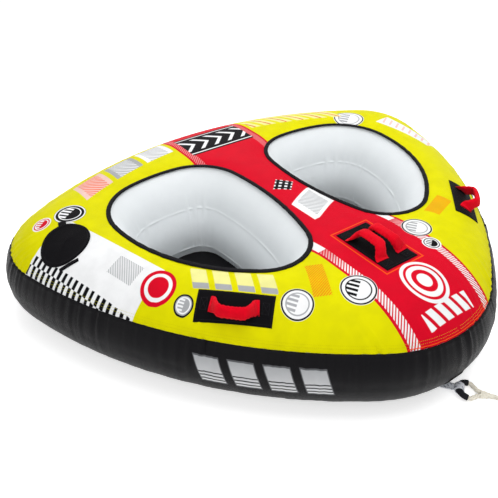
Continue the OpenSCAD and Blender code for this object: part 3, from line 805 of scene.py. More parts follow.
def add_node(
    tree: Tree, kind: str, inputs: dict[Any, Any], **settings: Any
) -> bpy.types.Node:
    """Adds a shader node.

    Args:
        tree: The node tree.
        kind: The node's type.
        inputs: What each input gets, by its number or name.
        settings: The node's properties.

    Returns:
        The node.
    """
    node = tree.nodes.new(f"ShaderNode{kind}")
    for name, value in settings.items():
        setattr(node, name, value)
    for key, value in inputs.items():
        feed(tree, node.inputs[key], value)
    return node


class Field:
    """A number in a shader, from which arithmetic makes nodes."""

    def __init__(self, tree: Tree, socket: Socket) -> None:
        """Wraps a socket."""
        self.tree = tree
        self.socket = socket

    def math(self, operation: str, *others: Union["Field", float], clamp: bool = False) -> "Field":
        """One Math node.

        Args:
            operation: The node's operation.
            others: Its further inputs.
            clamp: Whether the result stays within 0 and 1.

        Returns:
            The result.
        """
        inputs = dict(enumerate((self, *others)))
        node = add_node(self.tree, "Math", inputs, operation=operation, use_clamp=clamp)
        return Field(self.tree, node.outputs[0])

    def __add__(self, other: Union["Field", float]) -> "Field":
        """Returns: the sum."""
        return self.math("ADD", other)

    def __sub__(self, other: Union["Field", float]) -> "Field":
        """Returns: the difference."""
        return self.math("SUBTRACT", other)

    def __mul__(self, other: Union["Field", float]) -> "Field":
        """Returns: the product."""
        return self.math("MULTIPLY", other)

    def within(self, limit: float, soft: float = 0.0012) -> "Field":
        """Returns: where the size of the number is under a limit."""
        size = self.math("ABSOLUTE")
        return size.math("MULTIPLY_ADD", -1 / soft, limit / soft + 0.5, clamp=True)

    def over(self, limit: float, soft: float = 0.0012) -> "Field":
        """Returns: where the number is over a limit."""
        return self.math("MULTIPLY_ADD", 1 / soft, 0.5 - limit / soft, clamp=True)

    def every(self, pitch: float, share: float = 0.5) -> "Field":
        """Returns: stripes, as a share of their pitch."""
        wave = (self * (1 / pitch)).math("FRACT") - 0.5
        return wave.within(share / 2, min(EDGE_SHARE, EDGE_WIDTH / pitch))

    def less(self, other: "Field") -> "Field":
        """Returns: this mask without another."""
        return self.math("SUBTRACT", other, clamp=True)

    def past(self, start: float, gain: float) -> "Field":
        """Returns: how far the number is past a start, times a gain, within 0 and 1."""
        return (self - start).math("MULTIPLY", gain, clamp=True)


class Shader:
    """A material's node tree with the print that is laid on it."""

    def __init__(self, name: str, base: Colour) -> None:
        """Starts a material.

        Args:
            name: The material's name.
            base: Its first colour.
        """
        self.material = bpy.data.materials.new(name)
        self.material.use_nodes = True
        self.tree = self.material.node_tree
        self.body = self.tree.nodes["Principled BSDF"]
        coordinates = self.tree.nodes.new("ShaderNodeTexCoord")
        self.place = coordinates.outputs["Object"]
        self.x, self.y, self.z = self.parts(self.place)
        self.u, self.v, _ = self.parts(coordinates.outputs["UV"])
        self.plan = add_node(self.tree, "CombineXYZ", {0: self.x, 1: self.y}).outputs[0]
        self.colour: Paint = base

    def number(self, kind: str, inputs: dict[Any, Any], output: Any = 0, **settings: Any) -> Field:
        """Returns: an output of a new node."""
        return Field(self.tree, add_node(self.tree, kind, inputs, **settings).outputs[output])

    def parts(self, vector: Socket) -> tuple[Field, ...]:
        """Returns: a vector's three numbers."""
        node = add_node(self.tree, "SeparateXYZ", {0: vector})
        return tuple(Field(self.tree, s) for s in node.outputs)

    def noise(self, size: float, detail: float = 3.0) -> Field:
        """Returns: irregular variation about 0.5, with spots of a size and finer layers."""
        return self.number("TexNoise", {"Vector": self.place, "Scale": 1 / size, "Detail": detail})

    def weave(self, pitch: float, a: Field, b: Field) -> Field:
        """Returns: the relief of crossing threads."""
        turn = math.tau / pitch
        return (a * turn).math("SINE") * (b * turn).math("SINE")

    def away(self, spot: Sequence[float], flat: float = 1.0) -> Field:
        """Distance from a spot.

        Args:
            spot: The spot in plan.
            flat: How much the second direction is stretched.

        Returns:
            The distance.
        """
        inputs = {0: self.plan, 1: (1, flat, 0), 2: (-spot[0], -spot[1] * flat, 0)}
        off = add_node(self.tree, "VectorMath", inputs, operation="MULTIPLY_ADD")
        return self.number("VectorMath", {0: off.outputs[0]}, "Value", operation="LENGTH")

    def turned(self, spot: Sequence[float], angle: float) -> tuple[Field, Field]:
        """Places along and across a turned line.

        Args:
            spot: Origin of the line in plan.
            angle: Heading of the line in degrees.

        Returns:
            The two distances from the spot.
        """
        places = []
        for e in (heading(angle), heading(angle + 90)):
            inputs = {0: self.plan, 1: (*e, 0)}
            way = self.number("VectorMath", inputs, "Value", operation="DOT_PRODUCT")
            places.append(way - float(e @ np.array(spot)))
        return places[0], places[1]

    def mixed(self, share: Field, first: Paint, second: Paint) -> Socket:
        """Mixes two colours.

        Args:
            share: Share of the second.
            first: One colour.
            second: The other.

        Returns:
            The colour between them.
        """
        a, b = ((*paint, 1) if isinstance(paint, tuple) else paint for paint in (first, second))
        feeds = {MIX_SHARE: share, MIX_FROM: a, MIX_TO: b}
        return add_node(self.tree, "Mix", feeds, data_type="RGBA").outputs[MIX_RESULT]

    def lay(self, mask: Field, colour: Paint) -> None:
        """Prints a colour over what is there, where the mask says."""
        self.colour = self.mixed(mask, self.colour, colour)

    def finish(
        self, roughness: Union[Field, float], height: Field, depth: float, **settings: float
    ) -> Material:
        """Joins everything to the surface.

        Args:
            roughness: The surface's roughness.
            height: Relief from about -1 to 1.
            depth: Size of that relief.
            settings: Further inputs of the surface, with _ for spaces.

        Returns:
            The material.
        """
        relief = add_node(self.tree, "Bump", {"Strength": 1.0, "Distance": depth, "Height": height})
        colour = (*self.colour, 1) if isinstance(self.colour, tuple) else self.colour
        inputs = {"Base_Color": colour, "Roughness": roughness, "Normal": relief.outputs[0], **settings}
        for name, value in inputs.items():
            feed(self.tree, self.body.inputs[name.replace("_", " ")], value)
        return self.material


class Lay(Enum):
    """Which way a cloth's threads run."""

    PLAN = "plan"
    UV = "uv"
    UPRIGHT = "upright"


@dataclass(frozen=True)
class Finish:
    """A surface, by name and colour."""

    name: str
    colour: Colour

    def start(self) -> Shader:
        """Returns: the shader with its print, before its relief and wear."""
        return Shader(self.name, self.colour)

    def material(self) -> Material:
        """Returns: the finished material."""
        raise NotImplementedError


@dataclass(frozen=True)
class Cloth(Finish):
    """A woven finish."""

    pitch: float = 0.0016
    lay: Lay = Lay.PLAN
    rough: float = 0.62
    sheen: float = 0.02
    depth: float = 0.0002
    gloss: float = 0.03
    soft_size: float = 0.05
    fine_size: float = 0.004
    grime: Pair = (0.35, 0.25)
    relief: Triple = (0.5, 0.8, 2.0)
    rough_vary: float = 0.16

    def woven(self, s: Shader, rough: Union[Field, float], height: Field) -> Material:
        """Returns: the material with the cloth's depth, sheen and gloss."""
        settings = {"Sheen_Weight": self.sheen, "Specular_IOR_Level": self.gloss}
        return s.finish(rough, height, self.depth, **settings)

    def material(self) -> Material:
        """Makes the material.

        Returns:
            The finished material.
        """
        s = self.start()
        soft, fine = s.noise(self.soft_size), s.noise(self.fine_size, 2)
        s.lay(soft.past(*self.grime), GRIME)
        pairs = {Lay.PLAN: (s.x, s.y), Lay.UV: (s.u, s.v), Lay.UPRIGHT: (s.x + s.y, s.z)}
        threads = s.weave(self.pitch, *pairs[self.lay])
        thread_high, fine_high, soft_high = self.relief
        height = threads * thread_high + (fine - 0.5) * fine_high + (soft - 0.5) * soft_high
        rough = fine * self.rough_vary + (self.rough - self.rough_vary / 2)
        return self.woven(s, rough, height)


@dataclass(frozen=True)
class Webbing(Cloth):
    """A ribbed woven tape, with painted shade in its rib grooves and a woven mark where it has one."""

    rib: float = 0.0032
    turn: Union[float, None] = None
    mark: Union[Colour, None] = None
    soft_size: float = 0.012
    fine_size: float = 0.0016
    wear: Pair = (0.4, 0.9)
    # Painted shade in the rib grooves: where it starts and how fast it grows.
    groove_shade: Pair = (0.1, 0.35)
    mark_rows: Pair = (0.017, 0.36)
    mark_gaps: Pair = (0.023, 0.5)
    relief: Triple = (0.6, 0.4, 1.2)

    def material(self) -> Material:
        """Makes the material.

        Returns:
            The finished material.
        """
        s = self.start()
        u, v = (s.u, s.v) if self.turn is None else s.turned((0, 0), self.turn)
        soft, fuzz = s.noise(self.soft_size), s.noise(self.fine_size, 2)
        ribs = (u * (math.tau / self.rib)).math("SINE")
        threads = s.weave(self.pitch, u, v)
        # Half the cloth's brightness, for random wear and for painted shade in the rib grooves.
        wear_and_groove_shade = dimmed(self.colour, 0.5)
        if self.mark:
            s.lay((u + v).every(*self.mark_rows) * (u - v).every(*self.mark_gaps), self.mark)
        s.lay(soft.past(*self.wear) * 0.5, wear_and_groove_shade)
        # Painted shade in the rib grooves.
        s.lay((ribs * -0.5).past(*self.groove_shade), wear_and_groove_shade)
        rib_high, thread_high, fuzz_high = self.relief
        height = ribs * rib_high + threads * thread_high + (fuzz - 0.5) * fuzz_high
        return self.woven(s, self.rough, height)


@dataclass(frozen=True)
class Bar:
    """A printed rectangle: its middle, heading, length and width."""

    spot: Pair
    angle: float
    length: float
    width: float

    def on(self, s: Shader) -> tuple[Field, Field, Field]:
        """Returns: its mask, and the places along and across it."""
        along, across = s.turned(self.spot, self.angle)
        return along.within(self.length / 2) * across.within(self.width / 2), along, across


@dataclass(frozen=True)
class Badge:
    """A printed disc with a rim and a hatched half."""

    spot: Pair
    radius: float
    fill: Colour
    edge: Colour
    mark: Colour
    turn: float = 35.0
    inner_share: float = 0.68
    rim_share: float = 0.93
    rim_half: float = 0.0022
    line_half: float = 0.0018
    hatch_share: float = 0.3
    hatch_fill: float = 0.55

    def lay_on(self, s: Shader) -> None:
        """Prints the disc.

        Args:
            s: The shader.
        """
        radius, inner = self.radius, self.radius * self.inner_share
        far = s.away(self.spot)
        along, across = s.turned(self.spot, self.turn)
        s.lay(far.within(radius), self.fill)
        s.lay((far - radius * self.rim_share).within(self.rim_half), self.edge)
        hatch = along.every(radius * self.hatch_share, self.hatch_fill)
        s.lay(far.within(inner) * hatch * across.over(0.0), self.mark)
        s.lay((far - inner).within(self.line_half), self.mark)


NEAR_PANEL = Bar((-0.700, 0.045), 108, 0.40, 0.19)
FAR_PANEL = Bar((0.690, 0.130), 100, 0.24, 0.085)
FLANK_BARS = Bar((-0.420, -0.262), -44, 0.25, 0.07)
FLANK_HATCHES = (Bar((-0.235, -0.395), 62, 0.12, 0.05), Bar((0.330, -0.330), 20, 0.12, 0.05))
FLANK_RING = (-0.588, -0.148)
NOSE_RING = (0.0, -0.560)
NOSE_BARS = Bar((0.0, -0.650), 0, 0.17, 0.042)
MIDDLE_PANEL = Bar((0.012, -0.085), 90, 0.17, 0.13)
CHEQUER = Bar((0.0, 0.055), 45, 0.06, 0.06)
REAR_PANEL = Bar((0.0, 0.490), 0, 0.27, 0.155)
FLANK_BADGES = (
    Badge((-0.562, -0.236), 0.027, SILVER, BLACK, WHITE),
    Badge((-0.655, 0.300), 0.050, BLACK, WHITE, WHITE),
    Badge((-0.742, 0.318), 0.030, RED, WHITE, WHITE),
    Badge((-0.330, -0.425), 0.044, WHITE, BLACK, SILVER),
    Badge((0.560, 0.330), 0.062, WHITE, BLACK, SILVER),
)
MIDDLE_BADGES = (
    Badge((-0.172, -0.485), 0.050, WHITE, BLACK, BLACK),
    Badge((0.168, -0.382), 0.046, WHITE, BLACK, SILVER),
    Badge((0.142, -0.462), 0.028, BLACK, WHITE, WHITE),
)
REAR_PATCHES = ((0.18, 0.30, WHITE, SILVER), (0.32, 0.44, SILVER, WHITE), (0.46, 0.58, PINK, ORANGE))


@dataclass(frozen=True)
class DeckPrint(Cloth):
    """The printed cloth of the top: a striped middle and a loose set of plain motifs."""

    middle_w: float = 0.164
    border_x: float = 0.142
    frame_y: float = -0.377
    rear_y: float = -0.6488
    rear_r: float = 1.205
    rear_w: float = 0.056
    check: float = 0.022
    check_rows: Pair = (0.055, 0.077)
    block_at: Pair = (0.10, 0.04)
    block_half: Pair = (0.045, 0.03)
    block_hatch: Pair = (0.007, 0.5)
    ring_r: float = 0.05
    ring_line: Pair = (0.034, 0.005)
    flank_skew: float = 0.35
    flank_rows: Pair = (0.062, 0.72)
    flank_half: float = 0.122
    flank_line: Pair = (0.026, 0.009)
    flank_hatch: Pair = (0.008, 0.45)
    far_skew: float = 0.4
    far_rows: Pair = (0.03, 0.3)
    far_half: float = 0.028
    border_half: float = 0.0135
    border_hatch: Pair = (0.011, 0.55)
    border_block: Pair = (0.27, 0.035)
    fade_at: float = 0.30
    fade_run: float = 0.12
    fade_least: float = 0.25
    frame_inner: Pair = (0.111, 0.070)
    frame_outer: Pair = (0.115, 0.074)
    nose_squash: float = 0.86
    nose_rings: tuple[Pair, ...] = ((0.058, 0.0045), (0.040, 0.0065), (0.0, 0.020))
    nose_skew: float = 0.4
    nose_rows: Pair = (0.034, 0.66)
    panel_half: float = 0.062
    panel_inner: Pair = (0.048, 0.042)
    panel_hatch: Pair = (0.012, 0.5)
    chequer: float = 0.02
    rear_line: Pair = (0.068, 0.062)
    rear_rows: Pair = (0.06, 0.3)
    rear_half: float = 0.045
    patch_hatch: Pair = (0.018, 0.4)
    patch_share: float = 0.7
    strip_at: Pair = (0.365, 0.185)
    strip_skew: float = 0.3
    strip_pitch: float = 0.062
    strip_fills: Pair = (0.74, 0.10)

    def start(self) -> Shader:
        """Lays the print.

        Returns:
            The shader with the print on it.
        """
        s = super().start()
        self._flanks(s)
        self._middle(s)
        self._rear(s)
        return s

    def _flanks(self, s: Shader) -> None:
        """Prints the yellow flanks.

        Args:
            s: The shader.
        """
        bar, along, across = NEAR_PANEL.on(s)
        s.lay(bar, WHITE)
        (first, second), half = self.check_rows, self.check / 2
        s.lay(bar * (across - first).within(half) * along.every(self.check), BLACK)
        s.lay(bar * (across - second).within(half) * (along + half).every(self.check), BLACK)
        (back, down), (half_l, half_w) = self.block_at, self.block_half
        block = (across + down).within(half_w) * (along + back).within(half_l)
        s.lay(bar * block * (along + across).every(*self.block_hatch), SILVER)
        far, (radius, half) = s.away(FLANK_RING), self.ring_line
        s.lay(far.within(self.ring_r), RED)
        s.lay((far - radius).within(half), WHITE)
        for badge in FLANK_BADGES:
            badge.lay_on(s)
        bar, along, across = FLANK_BARS.on(s)
        skewed, (down, half) = along + across * self.flank_skew, self.flank_line
        slant = skewed.every(*self.flank_rows) * skewed.within(self.flank_half)
        s.lay(bar * slant, CREAM)
        s.lay(bar * slant * (across + down).within(half), SILVER)
        for hatch in FLANK_HATCHES:
            bar, along, across = hatch.on(s)
            s.lay(bar * (along + across).every(*self.flank_hatch), ORANGE)
        bar, along, across = FAR_PANEL.on(s)
        s.lay(bar, WHITE)
        slant = (along + across * self.far_skew).every(*self.far_rows)
        s.lay(bar * slant * across.within(self.far_half), PINK)

    def _middle(self, s: Shader) -> None:
        """Prints the red middle stripe with its hatched borders.

        Args:
            s: The shader.
        """
        off, frame = s.x.math("ABSOLUTE"), s.y - self.frame_y
        s.lay(off.within(self.middle_w), RED)
        border = (off - self.border_x).within(self.border_half)
        slope, least = -1 / self.fade_run, self.fade_least
        faded = s.y.math("MULTIPLY_ADD", slope, -self.fade_at / self.fade_run, clamp=True)
        faded = faded * (1 - least) + least
        s.lay(border * (s.y + off).every(*self.border_hatch) * faded, WHITE)
        back, half = self.border_block
        s.lay(border * (s.y + back).within(half), WHITE)
        half_l, half_w = self.frame_inner
        inner = frame.within(half_l) * off.within(half_w)
        half_l, half_w = self.frame_outer
        s.lay((frame.within(half_l) * off.within(half_w)).less(inner), ORANGE)
        for badge in MIDDLE_BADGES:
            badge.lay_on(s)
        far = s.away(NOSE_RING, self.nose_squash)
        for radius, half in self.nose_rings:
            s.lay((far - radius).within(half), WHITE)
        bar, along, across = NOSE_BARS.on(s)
        s.lay(bar * (along + across * self.nose_skew).every(*self.nose_rows), WHITE)
        bar, along, across = MIDDLE_PANEL.on(s)
        skewed = along + across * 0.5
        s.lay(bar * skewed.within(self.panel_half), WHITE)
        hatch, (half_l, half_w) = (along - across).every(*self.panel_hatch), self.panel_inner
        s.lay(bar * skewed.within(half_l) * across.within(half_w) * hatch, SILVER)
        bar, along, across = CHEQUER.on(s)
        s.lay(bar, BLACK)
        s.lay(bar * along.every(self.chequer) * across.every(self.chequer), WHITE)

    def _rear(self, s: Shader) -> None:
        """Prints the rear edge.

        Args:
            s: The shader.
        """
        bar, along, across = REAR_PANEL.on(s)
        s.lay(bar, BLACK)
        outer, inner = self.rear_line
        s.lay(bar * across.within(outer).less(across.within(inner)), WHITE)
        arrows = (along + across.math("ABSOLUTE")).every(*self.rear_rows)
        s.lay(bar * arrows * across.within(self.rear_half), WHITE)
        edge = (s.away((0.0, self.rear_y)) - self.rear_r).within(self.rear_w)
        for start, end, colour, mark in REAR_PATCHES:
            off, half = s.x + (start + end) / 2, (end - start) / 2
            patch = edge * off.within(half)
            s.lay(patch, colour)
            hatch = (s.x + s.y).every(*self.patch_hatch)
            s.lay(patch * hatch * off.within(half * self.patch_share), mark)
        middle, half = self.strip_at
        strip, slant = edge * (s.x - middle).within(half), s.x + s.y * self.strip_skew
        for fill, colour in zip(self.strip_fills, (CREAM, RED)):
            s.lay(strip * slant.every(self.strip_pitch, fill), colour)


@dataclass(frozen=True)
class BandCloth(Cloth):
    """The black cloth of the side, with a row of slanted silver bars on each flank."""

    middle: float = 0.557
    length: float = 0.37
    down: float = 0.085
    bar_pitch: float = 0.0925
    slant: float = 0.3
    edge: Pair = (0.045, 0.76)
    face: Pair = (0.040, 0.70)
    fade: Pair = (9.0, 0.35)
    lines: Pair = (0.0125, 0.36)
    lines_from: float = 0.087

    def start(self) -> Shader:
        """Lays the bars.

        Returns:
            The shader with the bars on it.
        """
        s = super().start()
        slant = s.u.math("ABSOLUTE") - self.middle + s.v * self.slant
        row, off = slant.within(self.length / 2), s.v - self.down
        half, fill = self.edge
        s.lay(off.within(half) * slant.every(self.bar_pitch, fill) * row, STEEL)
        half, fill = self.face
        bars = slant.every(self.bar_pitch, fill) * row * off.within(half)
        slope, start = self.fade
        faded = (s.v * slope - start).math("ADD", 0.0, clamp=True)
        s.lay(bars, s.mixed(faded, SILVER, WHITE))
        s.lay(bars * off.every(*self.lines) * s.v.over(self.lines_from), BLACK)
        return s


@dataclass(frozen=True)
class Vinyl(Finish):
    """A smooth welded skin."""

    rough: float = 0.36
    rough_vary: float = 0.14
    broad_size: float = 0.09
    fine_size: float = 0.006
    wear: Pair = (0.3, 0.6)
    wear_dim: float = 0.86
    relief: Pair = (3.0, 0.3)
    depth: float = 0.0005
    gloss: float = 0.45

    def material(self) -> Material:
        """Makes the material.

        Returns:
            The finished material.
        """
        s = self.start()
        broad, fine = s.noise(self.broad_size), s.noise(self.fine_size, 2)
        s.lay(broad.past(*self.wear), dimmed(self.colour, self.wear_dim))
        rough = broad * self.rough_vary + (self.rough - self.rough_vary / 2)
        broad_high, fine_high = self.relief
        height = (broad - 0.5) * broad_high + (fine - 0.5) * fine_high
        return s.finish(rough, height, self.depth, Specular_IOR_Level=self.gloss)


@dataclass(frozen=True)
class Moulded(Finish):
    """A moulded plastic or rubber, with ridges where it has any."""

    rough: float = 0.45
    ridge: float = 0.0
    ridge_high: float = 4.0
    rough_vary: float = 0.2
    fine_size: float = 0.0012
    soft_size: float = 0.02
    wear: Pair = (0.45, 0.8)
    wear_dim: float = 0.7
    depth: float = 0.00012

    def material(self) -> Material:
        """Makes the material.

        Returns:
            The finished material.
        """
        s = self.start()
        fine, soft = s.noise(self.fine_size, 2), s.noise(self.soft_size)
        s.lay(soft.past(*self.wear), dimmed(self.colour, self.wear_dim))
        height = fine - 0.5
        if self.ridge:
            height = height + (s.x * (math.tau / self.ridge)).math("SINE") * self.ridge_high
        rough = fine * self.rough_vary + (self.rough - self.rough_vary / 2)
        return s.finish(rough, height, self.depth)


@dataclass(frozen=True)
class Fibre(Finish):
    """Twisted rope yarn, with painted shade in the grooves between its yarns."""

    rough: float = 0.75
    sheen: float = 0.3
    soft_size: float = 0.006
    fuzz_size: float = 0.0009
    yarns: Pair = (9.0, 0.5)
    wear: Pair = (0.4, 1.2)
    # Painted shade in the grooves between yarns: where it starts and how fast it grows.
    groove_shade: Pair = (0.2, 0.5)
    wear_dim: float = 0.6
    depth: float = 0.0003

    def material(self) -> Material:
        """Makes the material.

        Returns:
            The finished material.
        """
        s = self.start()
        soft, fuzz = s.noise(self.soft_size), s.noise(self.fuzz_size, 2)
        along, across = self.yarns
        yarn = ((s.u * along + s.v * across) * math.tau).math("SINE")
        # A darker copy of the colour, for random wear and for painted shade in the yarn grooves.
        wear_and_groove_shade = dimmed(self.colour, self.wear_dim)
        s.lay(soft.past(*self.wear), wear_and_groove_shade)
        # Painted shade in the grooves between yarns.
        s.lay((yarn * -0.5).past(*self.groove_shade), wear_and_groove_shade)
        return s.finish(self.rough, yarn * 0.5 + (fuzz - 0.5), self.depth, Sheen_Weight=self.sheen)


DECK_CLOTH = DeckPrint("deck_cloth", YELLOW, rough=0.50, sheen=0.0)
BAND_CLOTH = BandCloth("band_cloth", BLACK, lay=Lay.UV, rough=0.42, gloss=0.07)
BLACK_CLOTH = Cloth("black_cloth", BLACK, depth=0.0003, pitch=0.0022)
FLOOR_CLOTH = Cloth("floor_cloth", ink(24, 24, 26), pitch=0.003)
EDGE_TAPE = Cloth("edge_tape", ink(26, 25, 28), pitch=0.0014, lay=Lay.UV)
VINYL_SKIN = Vinyl("bladder_vinyl", ink(233, 237, 239))
GRIP_WEBBING = Webbing("grip_webbing", ink(236, 4, 34), rough=0.7, sheen=0.04, depth=0.0005)
TOW_WEBBING = Webbing(
    "tow_webbing", ink(238, 241, 248), rough=0.7, depth=0.0005, turn=-52.0, mark=ink(176, 180, 192)
)
BLACK_THREAD = Cloth("black_thread", ink(52, 51, 55), pitch=0.0008)
YELLOW_THREAD = Cloth("yellow_thread", ink(205, 198, 10), pitch=0.0008)
PIPING = Cloth("orange_piping", ORANGE, pitch=0.0012, lay=Lay.UPRIGHT)
CHAFE_CLOTH = Cloth("chafe_cloth", ink(38, 38, 42), pitch=0.002, lay=Lay.UPRIGHT)
ROPE_YARN = Fibre("rope_yarn", ink(240, 234, 218))
VALVE_PLASTIC = Moulded("valve_plastic", ink(206, 209, 211), 0.38)
VALVE_RUBBER = Moulded("valve_rubber", ink(44, 44, 47), 0.6)
ZIP_PLASTIC = Moulded("zip_plastic", ink(34, 34, 37), 0.42)
ZIP_COIL = Moulded("zip_coil", ink(46, 46, 49), 0.42, 0.0026)


@cache
def made(finish: Finish) -> Material:
    """Returns: a finish's material, made once."""
    return finish.material()


def paint(piece: Piece, finish: Finish) -> None:
    """Gives an object a finish."""
    piece.data.materials.clear()
    piece.data.materials.append(made(finish))


def place(
    piece: Piece, finish: Finish, body: Union[str, None], slot: str, *nodes: str
) -> Piece:
    """Gives a piece its finish, its body and the nodes that it stands for.

    Args:
        piece: The piece.
        finish: Its finish.
        body: The body that it rides on, or None to leave it on no body.
        slot: The record's material slot; not used.
        nodes: CAD nodes that it stands for.

    Returns:
        The piece.
    """
    paint(piece, finish)
    if body:
        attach(piece, body)
    if nodes:
        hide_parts(*nodes)
    LOG.info("%s made, riding on %s", piece.name, body or "two bodies")
    return piece


def sew(
    name: str, lines: Sequence[Array], stitch: Stitch, body: str, slot: str = "black_fabric",
    thread: Finish = BLACK_THREAD, mirror: bool = False,
) -> None:
    """Makes rows of stitches as one piece.

    Args:
        name: Name of the piece.
        lines: Points of each row.
        stitch: Size of the stitches.
        body: The body that it rides on.
        slot: The record's material slot, handed to place, which does not use it.
        thread: Its finish.
        mirror: Whether it is turned over to the other side of X 0.
    """
    maker = MeshMaker()
    for line in lines:
        maker.stitches(line, stitch)
    place(maker.build(name, mirror=mirror), thread, body, slot)


# Sub-assemblies


@dataclass
class Cover:
    """The sewn cover: top, side band, bottom, rim bindings and their stitching."""

    hull: Hull
    thick: float = 0.0012
    edge: float = 0.0055
    binding_w: float = 0.015
    binding_h: float = 0.007
    binding_gap: float = 0.0008
    rim_stitch_out: float = 0.0035
    pucker: float = 0.0017
    pucker_reach: float = 0.042
    rim_fold: float = 0.0006
    rim_reach: float = 0.016
    seam_dip: float = 0.0012
    seam_run: float = 0.004
    seam_length: float = 4.6
    band_fold: float = 0.0026
    band_reach: float = 0.075
    hem_fold: float = 0.0022
    hem_reach: float = 0.045
    hem_dip: float = 0.0010
    crease: float = 0.0012
    crease_at: float = 0.098
    seam_roll: float = 0.0012
    seam_sink: float = 0.0016
    seam_step: float = 0.15
    stitch_insets: Pair = (0.0075, 0.0125)
    piping_r: float = 0.0013
    piping_inset: float = 0.0030
    piping_reach: float = 0.164
    top_cut: Pair = (1.85, 1.55)
    top_area: float = 2.86
    bottom_cut: Pair = (1.75, 1.40)
    top_rows: int = 40
    row_mix: Pair = (0.35, 0.65)
    upper_rows: int = 16
    upper_power: float = 1.5
    lower_rows: int = 24
    hem_rows: int = 8
    floor_rows: int = 14
    floor_end: float = 89.9
    band_columns: int = 760
    rim_columns: int = 1400
    binding_columns: int = 300
    binding_sides: int = 16
    binding_fold: float = 0.05
    binding_power: float = 0.8
    binding_uv: float = 0.0001
    rim_run: float = 1.3
    seam_waves: Pair = (0.017, 0.050)
    rim_waves: Pair = (0.018, 0.06)
    band_waves: Pair = (0.016, 0.052)
    slow_waves: Pair = (0.10, 0.35)
    hem_waves: Pair = (0.035, 0.12)
    binding_waves: Pair = (0.016, 0.06)
    band_vary: Pair = (0.7, 0.4)
    roll_at: float = 0.008
    roll_run: float = 0.005
    sink_run: float = 0.003
    crease_sway: float = 0.004
    crease_run: float = 0.010
    crease_vary: Pair = (0.7, 0.3)
    hem_clear: float = 0.03
    hem_dip_at: float = 0.006
    hem_dip_run: float = 0.004
    piping_sides: int = 8
    rim_stitch_lift: float = 0.0001
    lift: float = 0.0003

    def __post_init__(self) -> None:
        """Measures the seam."""
        self.angles, self.run, self.length = self.hull.seam.even(self.band_columns)

    def _puckers(self, columns: Columns, from_seam: Array, from_rim: Array) -> Array:
        """Relief of the top along its seam and its rims.

        Args:
            columns: The lines of its left half.
            from_seam: Distance of its points from the seam.
            from_rim: Distance of its points from the rim.

        Returns:
            The lift of each point.
        """
        seam_folds = Ripple(3, self.seam_length, *self.seam_waves)(columns.run * columns.on_seam)
        rim_folds = Ripple(5, self.rim_run, *self.rim_waves)(columns.rim / 360 * self.rim_run)
        lift = self.pucker * seam_folds * np.exp(-np.maximum(from_seam, 0) / self.pucker_reach)
        lift = lift * columns.on_seam
        lift = lift + self.rim_fold * rim_folds * np.exp(-from_rim / self.rim_reach)
        return lift - self.seam_dip * bump(from_seam, self.seam_run)

    def top(self, valve: "Valve") -> None:
        """Makes the top panel.

        Args:
            valve: The valve, which needs a hole.
        """
        h = self.hull
        columns = h.columns(self.edge)
        edge, half = columns.edge, slice(h.centre_columns + 1)
        share = np.linspace(0, 1, self.top_rows)[:, None, None]
        even, eased = self.row_mix
        share = even * share + eased * ease(share)
        plan = columns.start + (columns.end - columns.start) * share
        points, normals = h.deck(plan)
        points[-1, half, 0] = 0
        flat = plan.reshape(-1, 2)
        from_seam = -h.seam.outside(flat)[0].reshape(share.shape[0], -1)
        from_rim = h.rim.outside(flat)[0].reshape(share.shape[0], -1)
        lift = self._puckers(columns, from_seam, from_rim)
        normals[-1, : h.centre_columns, 0] = 0
        normals = unit(normals)
        outer = points + normals * (h.cover_out + lift)[..., None]
        inner = outer - normals * self.thick
        for grid in (outer, inner):
            grid[-1, half, 0] = 0
        maker = MeshMaker()
        for flip in HALVES:
            maker.grid(outer * flip, True).grid(inner * flip, True)
            maker.grid(np.stack([outer[0], inner[0]]) * flip, True)
            maker.grid(np.stack([outer[-1, edge], inner[-1, edge]]) * flip)
        piece = maker.build("top_cover", weld=WELD)
        cut(piece, [valve.access()])
        place(piece, DECK_CLOTH, "tube", "top_fabric", "top_panel")
        self._seams(outer[:, edge], from_seam[:, edge])
        self._rim_stitches()

    def _seams(self, face: Array, from_seam: Array) -> None:
        """Makes the stitch rows of the top and the piping at its nose.

        Args:
            face: Rows of the top's left half, the last of them on the seam.
            from_seam: Distance of its points from the seam.
        """

        def inside(inset: float) -> Array:
            """Returns: the line of the top at a distance from the seam."""
            columns = zip(face[::-1].transpose(1, 2, 0), from_seam[::-1].T)
            return np.array([[np.interp(inset, run, p) for p in c] for c, run in columns])

        up = np.array([0, 0, self.lift])
        rows = [inside(inset) * flip + up for inset in self.stitch_insets for flip in HALVES]
        sew("seam_stitches", rows, SEAM_STITCH, "tube", "top_fabric", YELLOW_THREAD)
        nose = inside(self.piping_inset)
        nose = nose[(nose[:, 0] > -self.piping_reach) & (nose[:, 1] < 0)]
        nose = np.concatenate([nose, nose[-2::-1] * HALVES[1]])
        cord = MeshMaker().tube(rings_along(nose, circle(self.piping_r, self.piping_sides)))
        place(cord.build("nose_piping"), PIPING, "tube", "top_fabric")

    def _rim_stitches(self) -> None:
        """Makes the stitch rows on the bound rims."""
        h = self.hull
        ring = h.rim.at(np.linspace(0, 360, self.rim_columns), self.rim_stitch_out)
        z = h.rim_z + self.binding_gap + self.binding_h + self.rim_stitch_lift
        top = np.full((len(ring), 1), z)
        for side in Side:
            name = f"{side.label}_binding_stitches"
            sew(name, [np.hstack([ring, top])], SEAM_STITCH, "tube", mirror=side is Side.RIGHT)

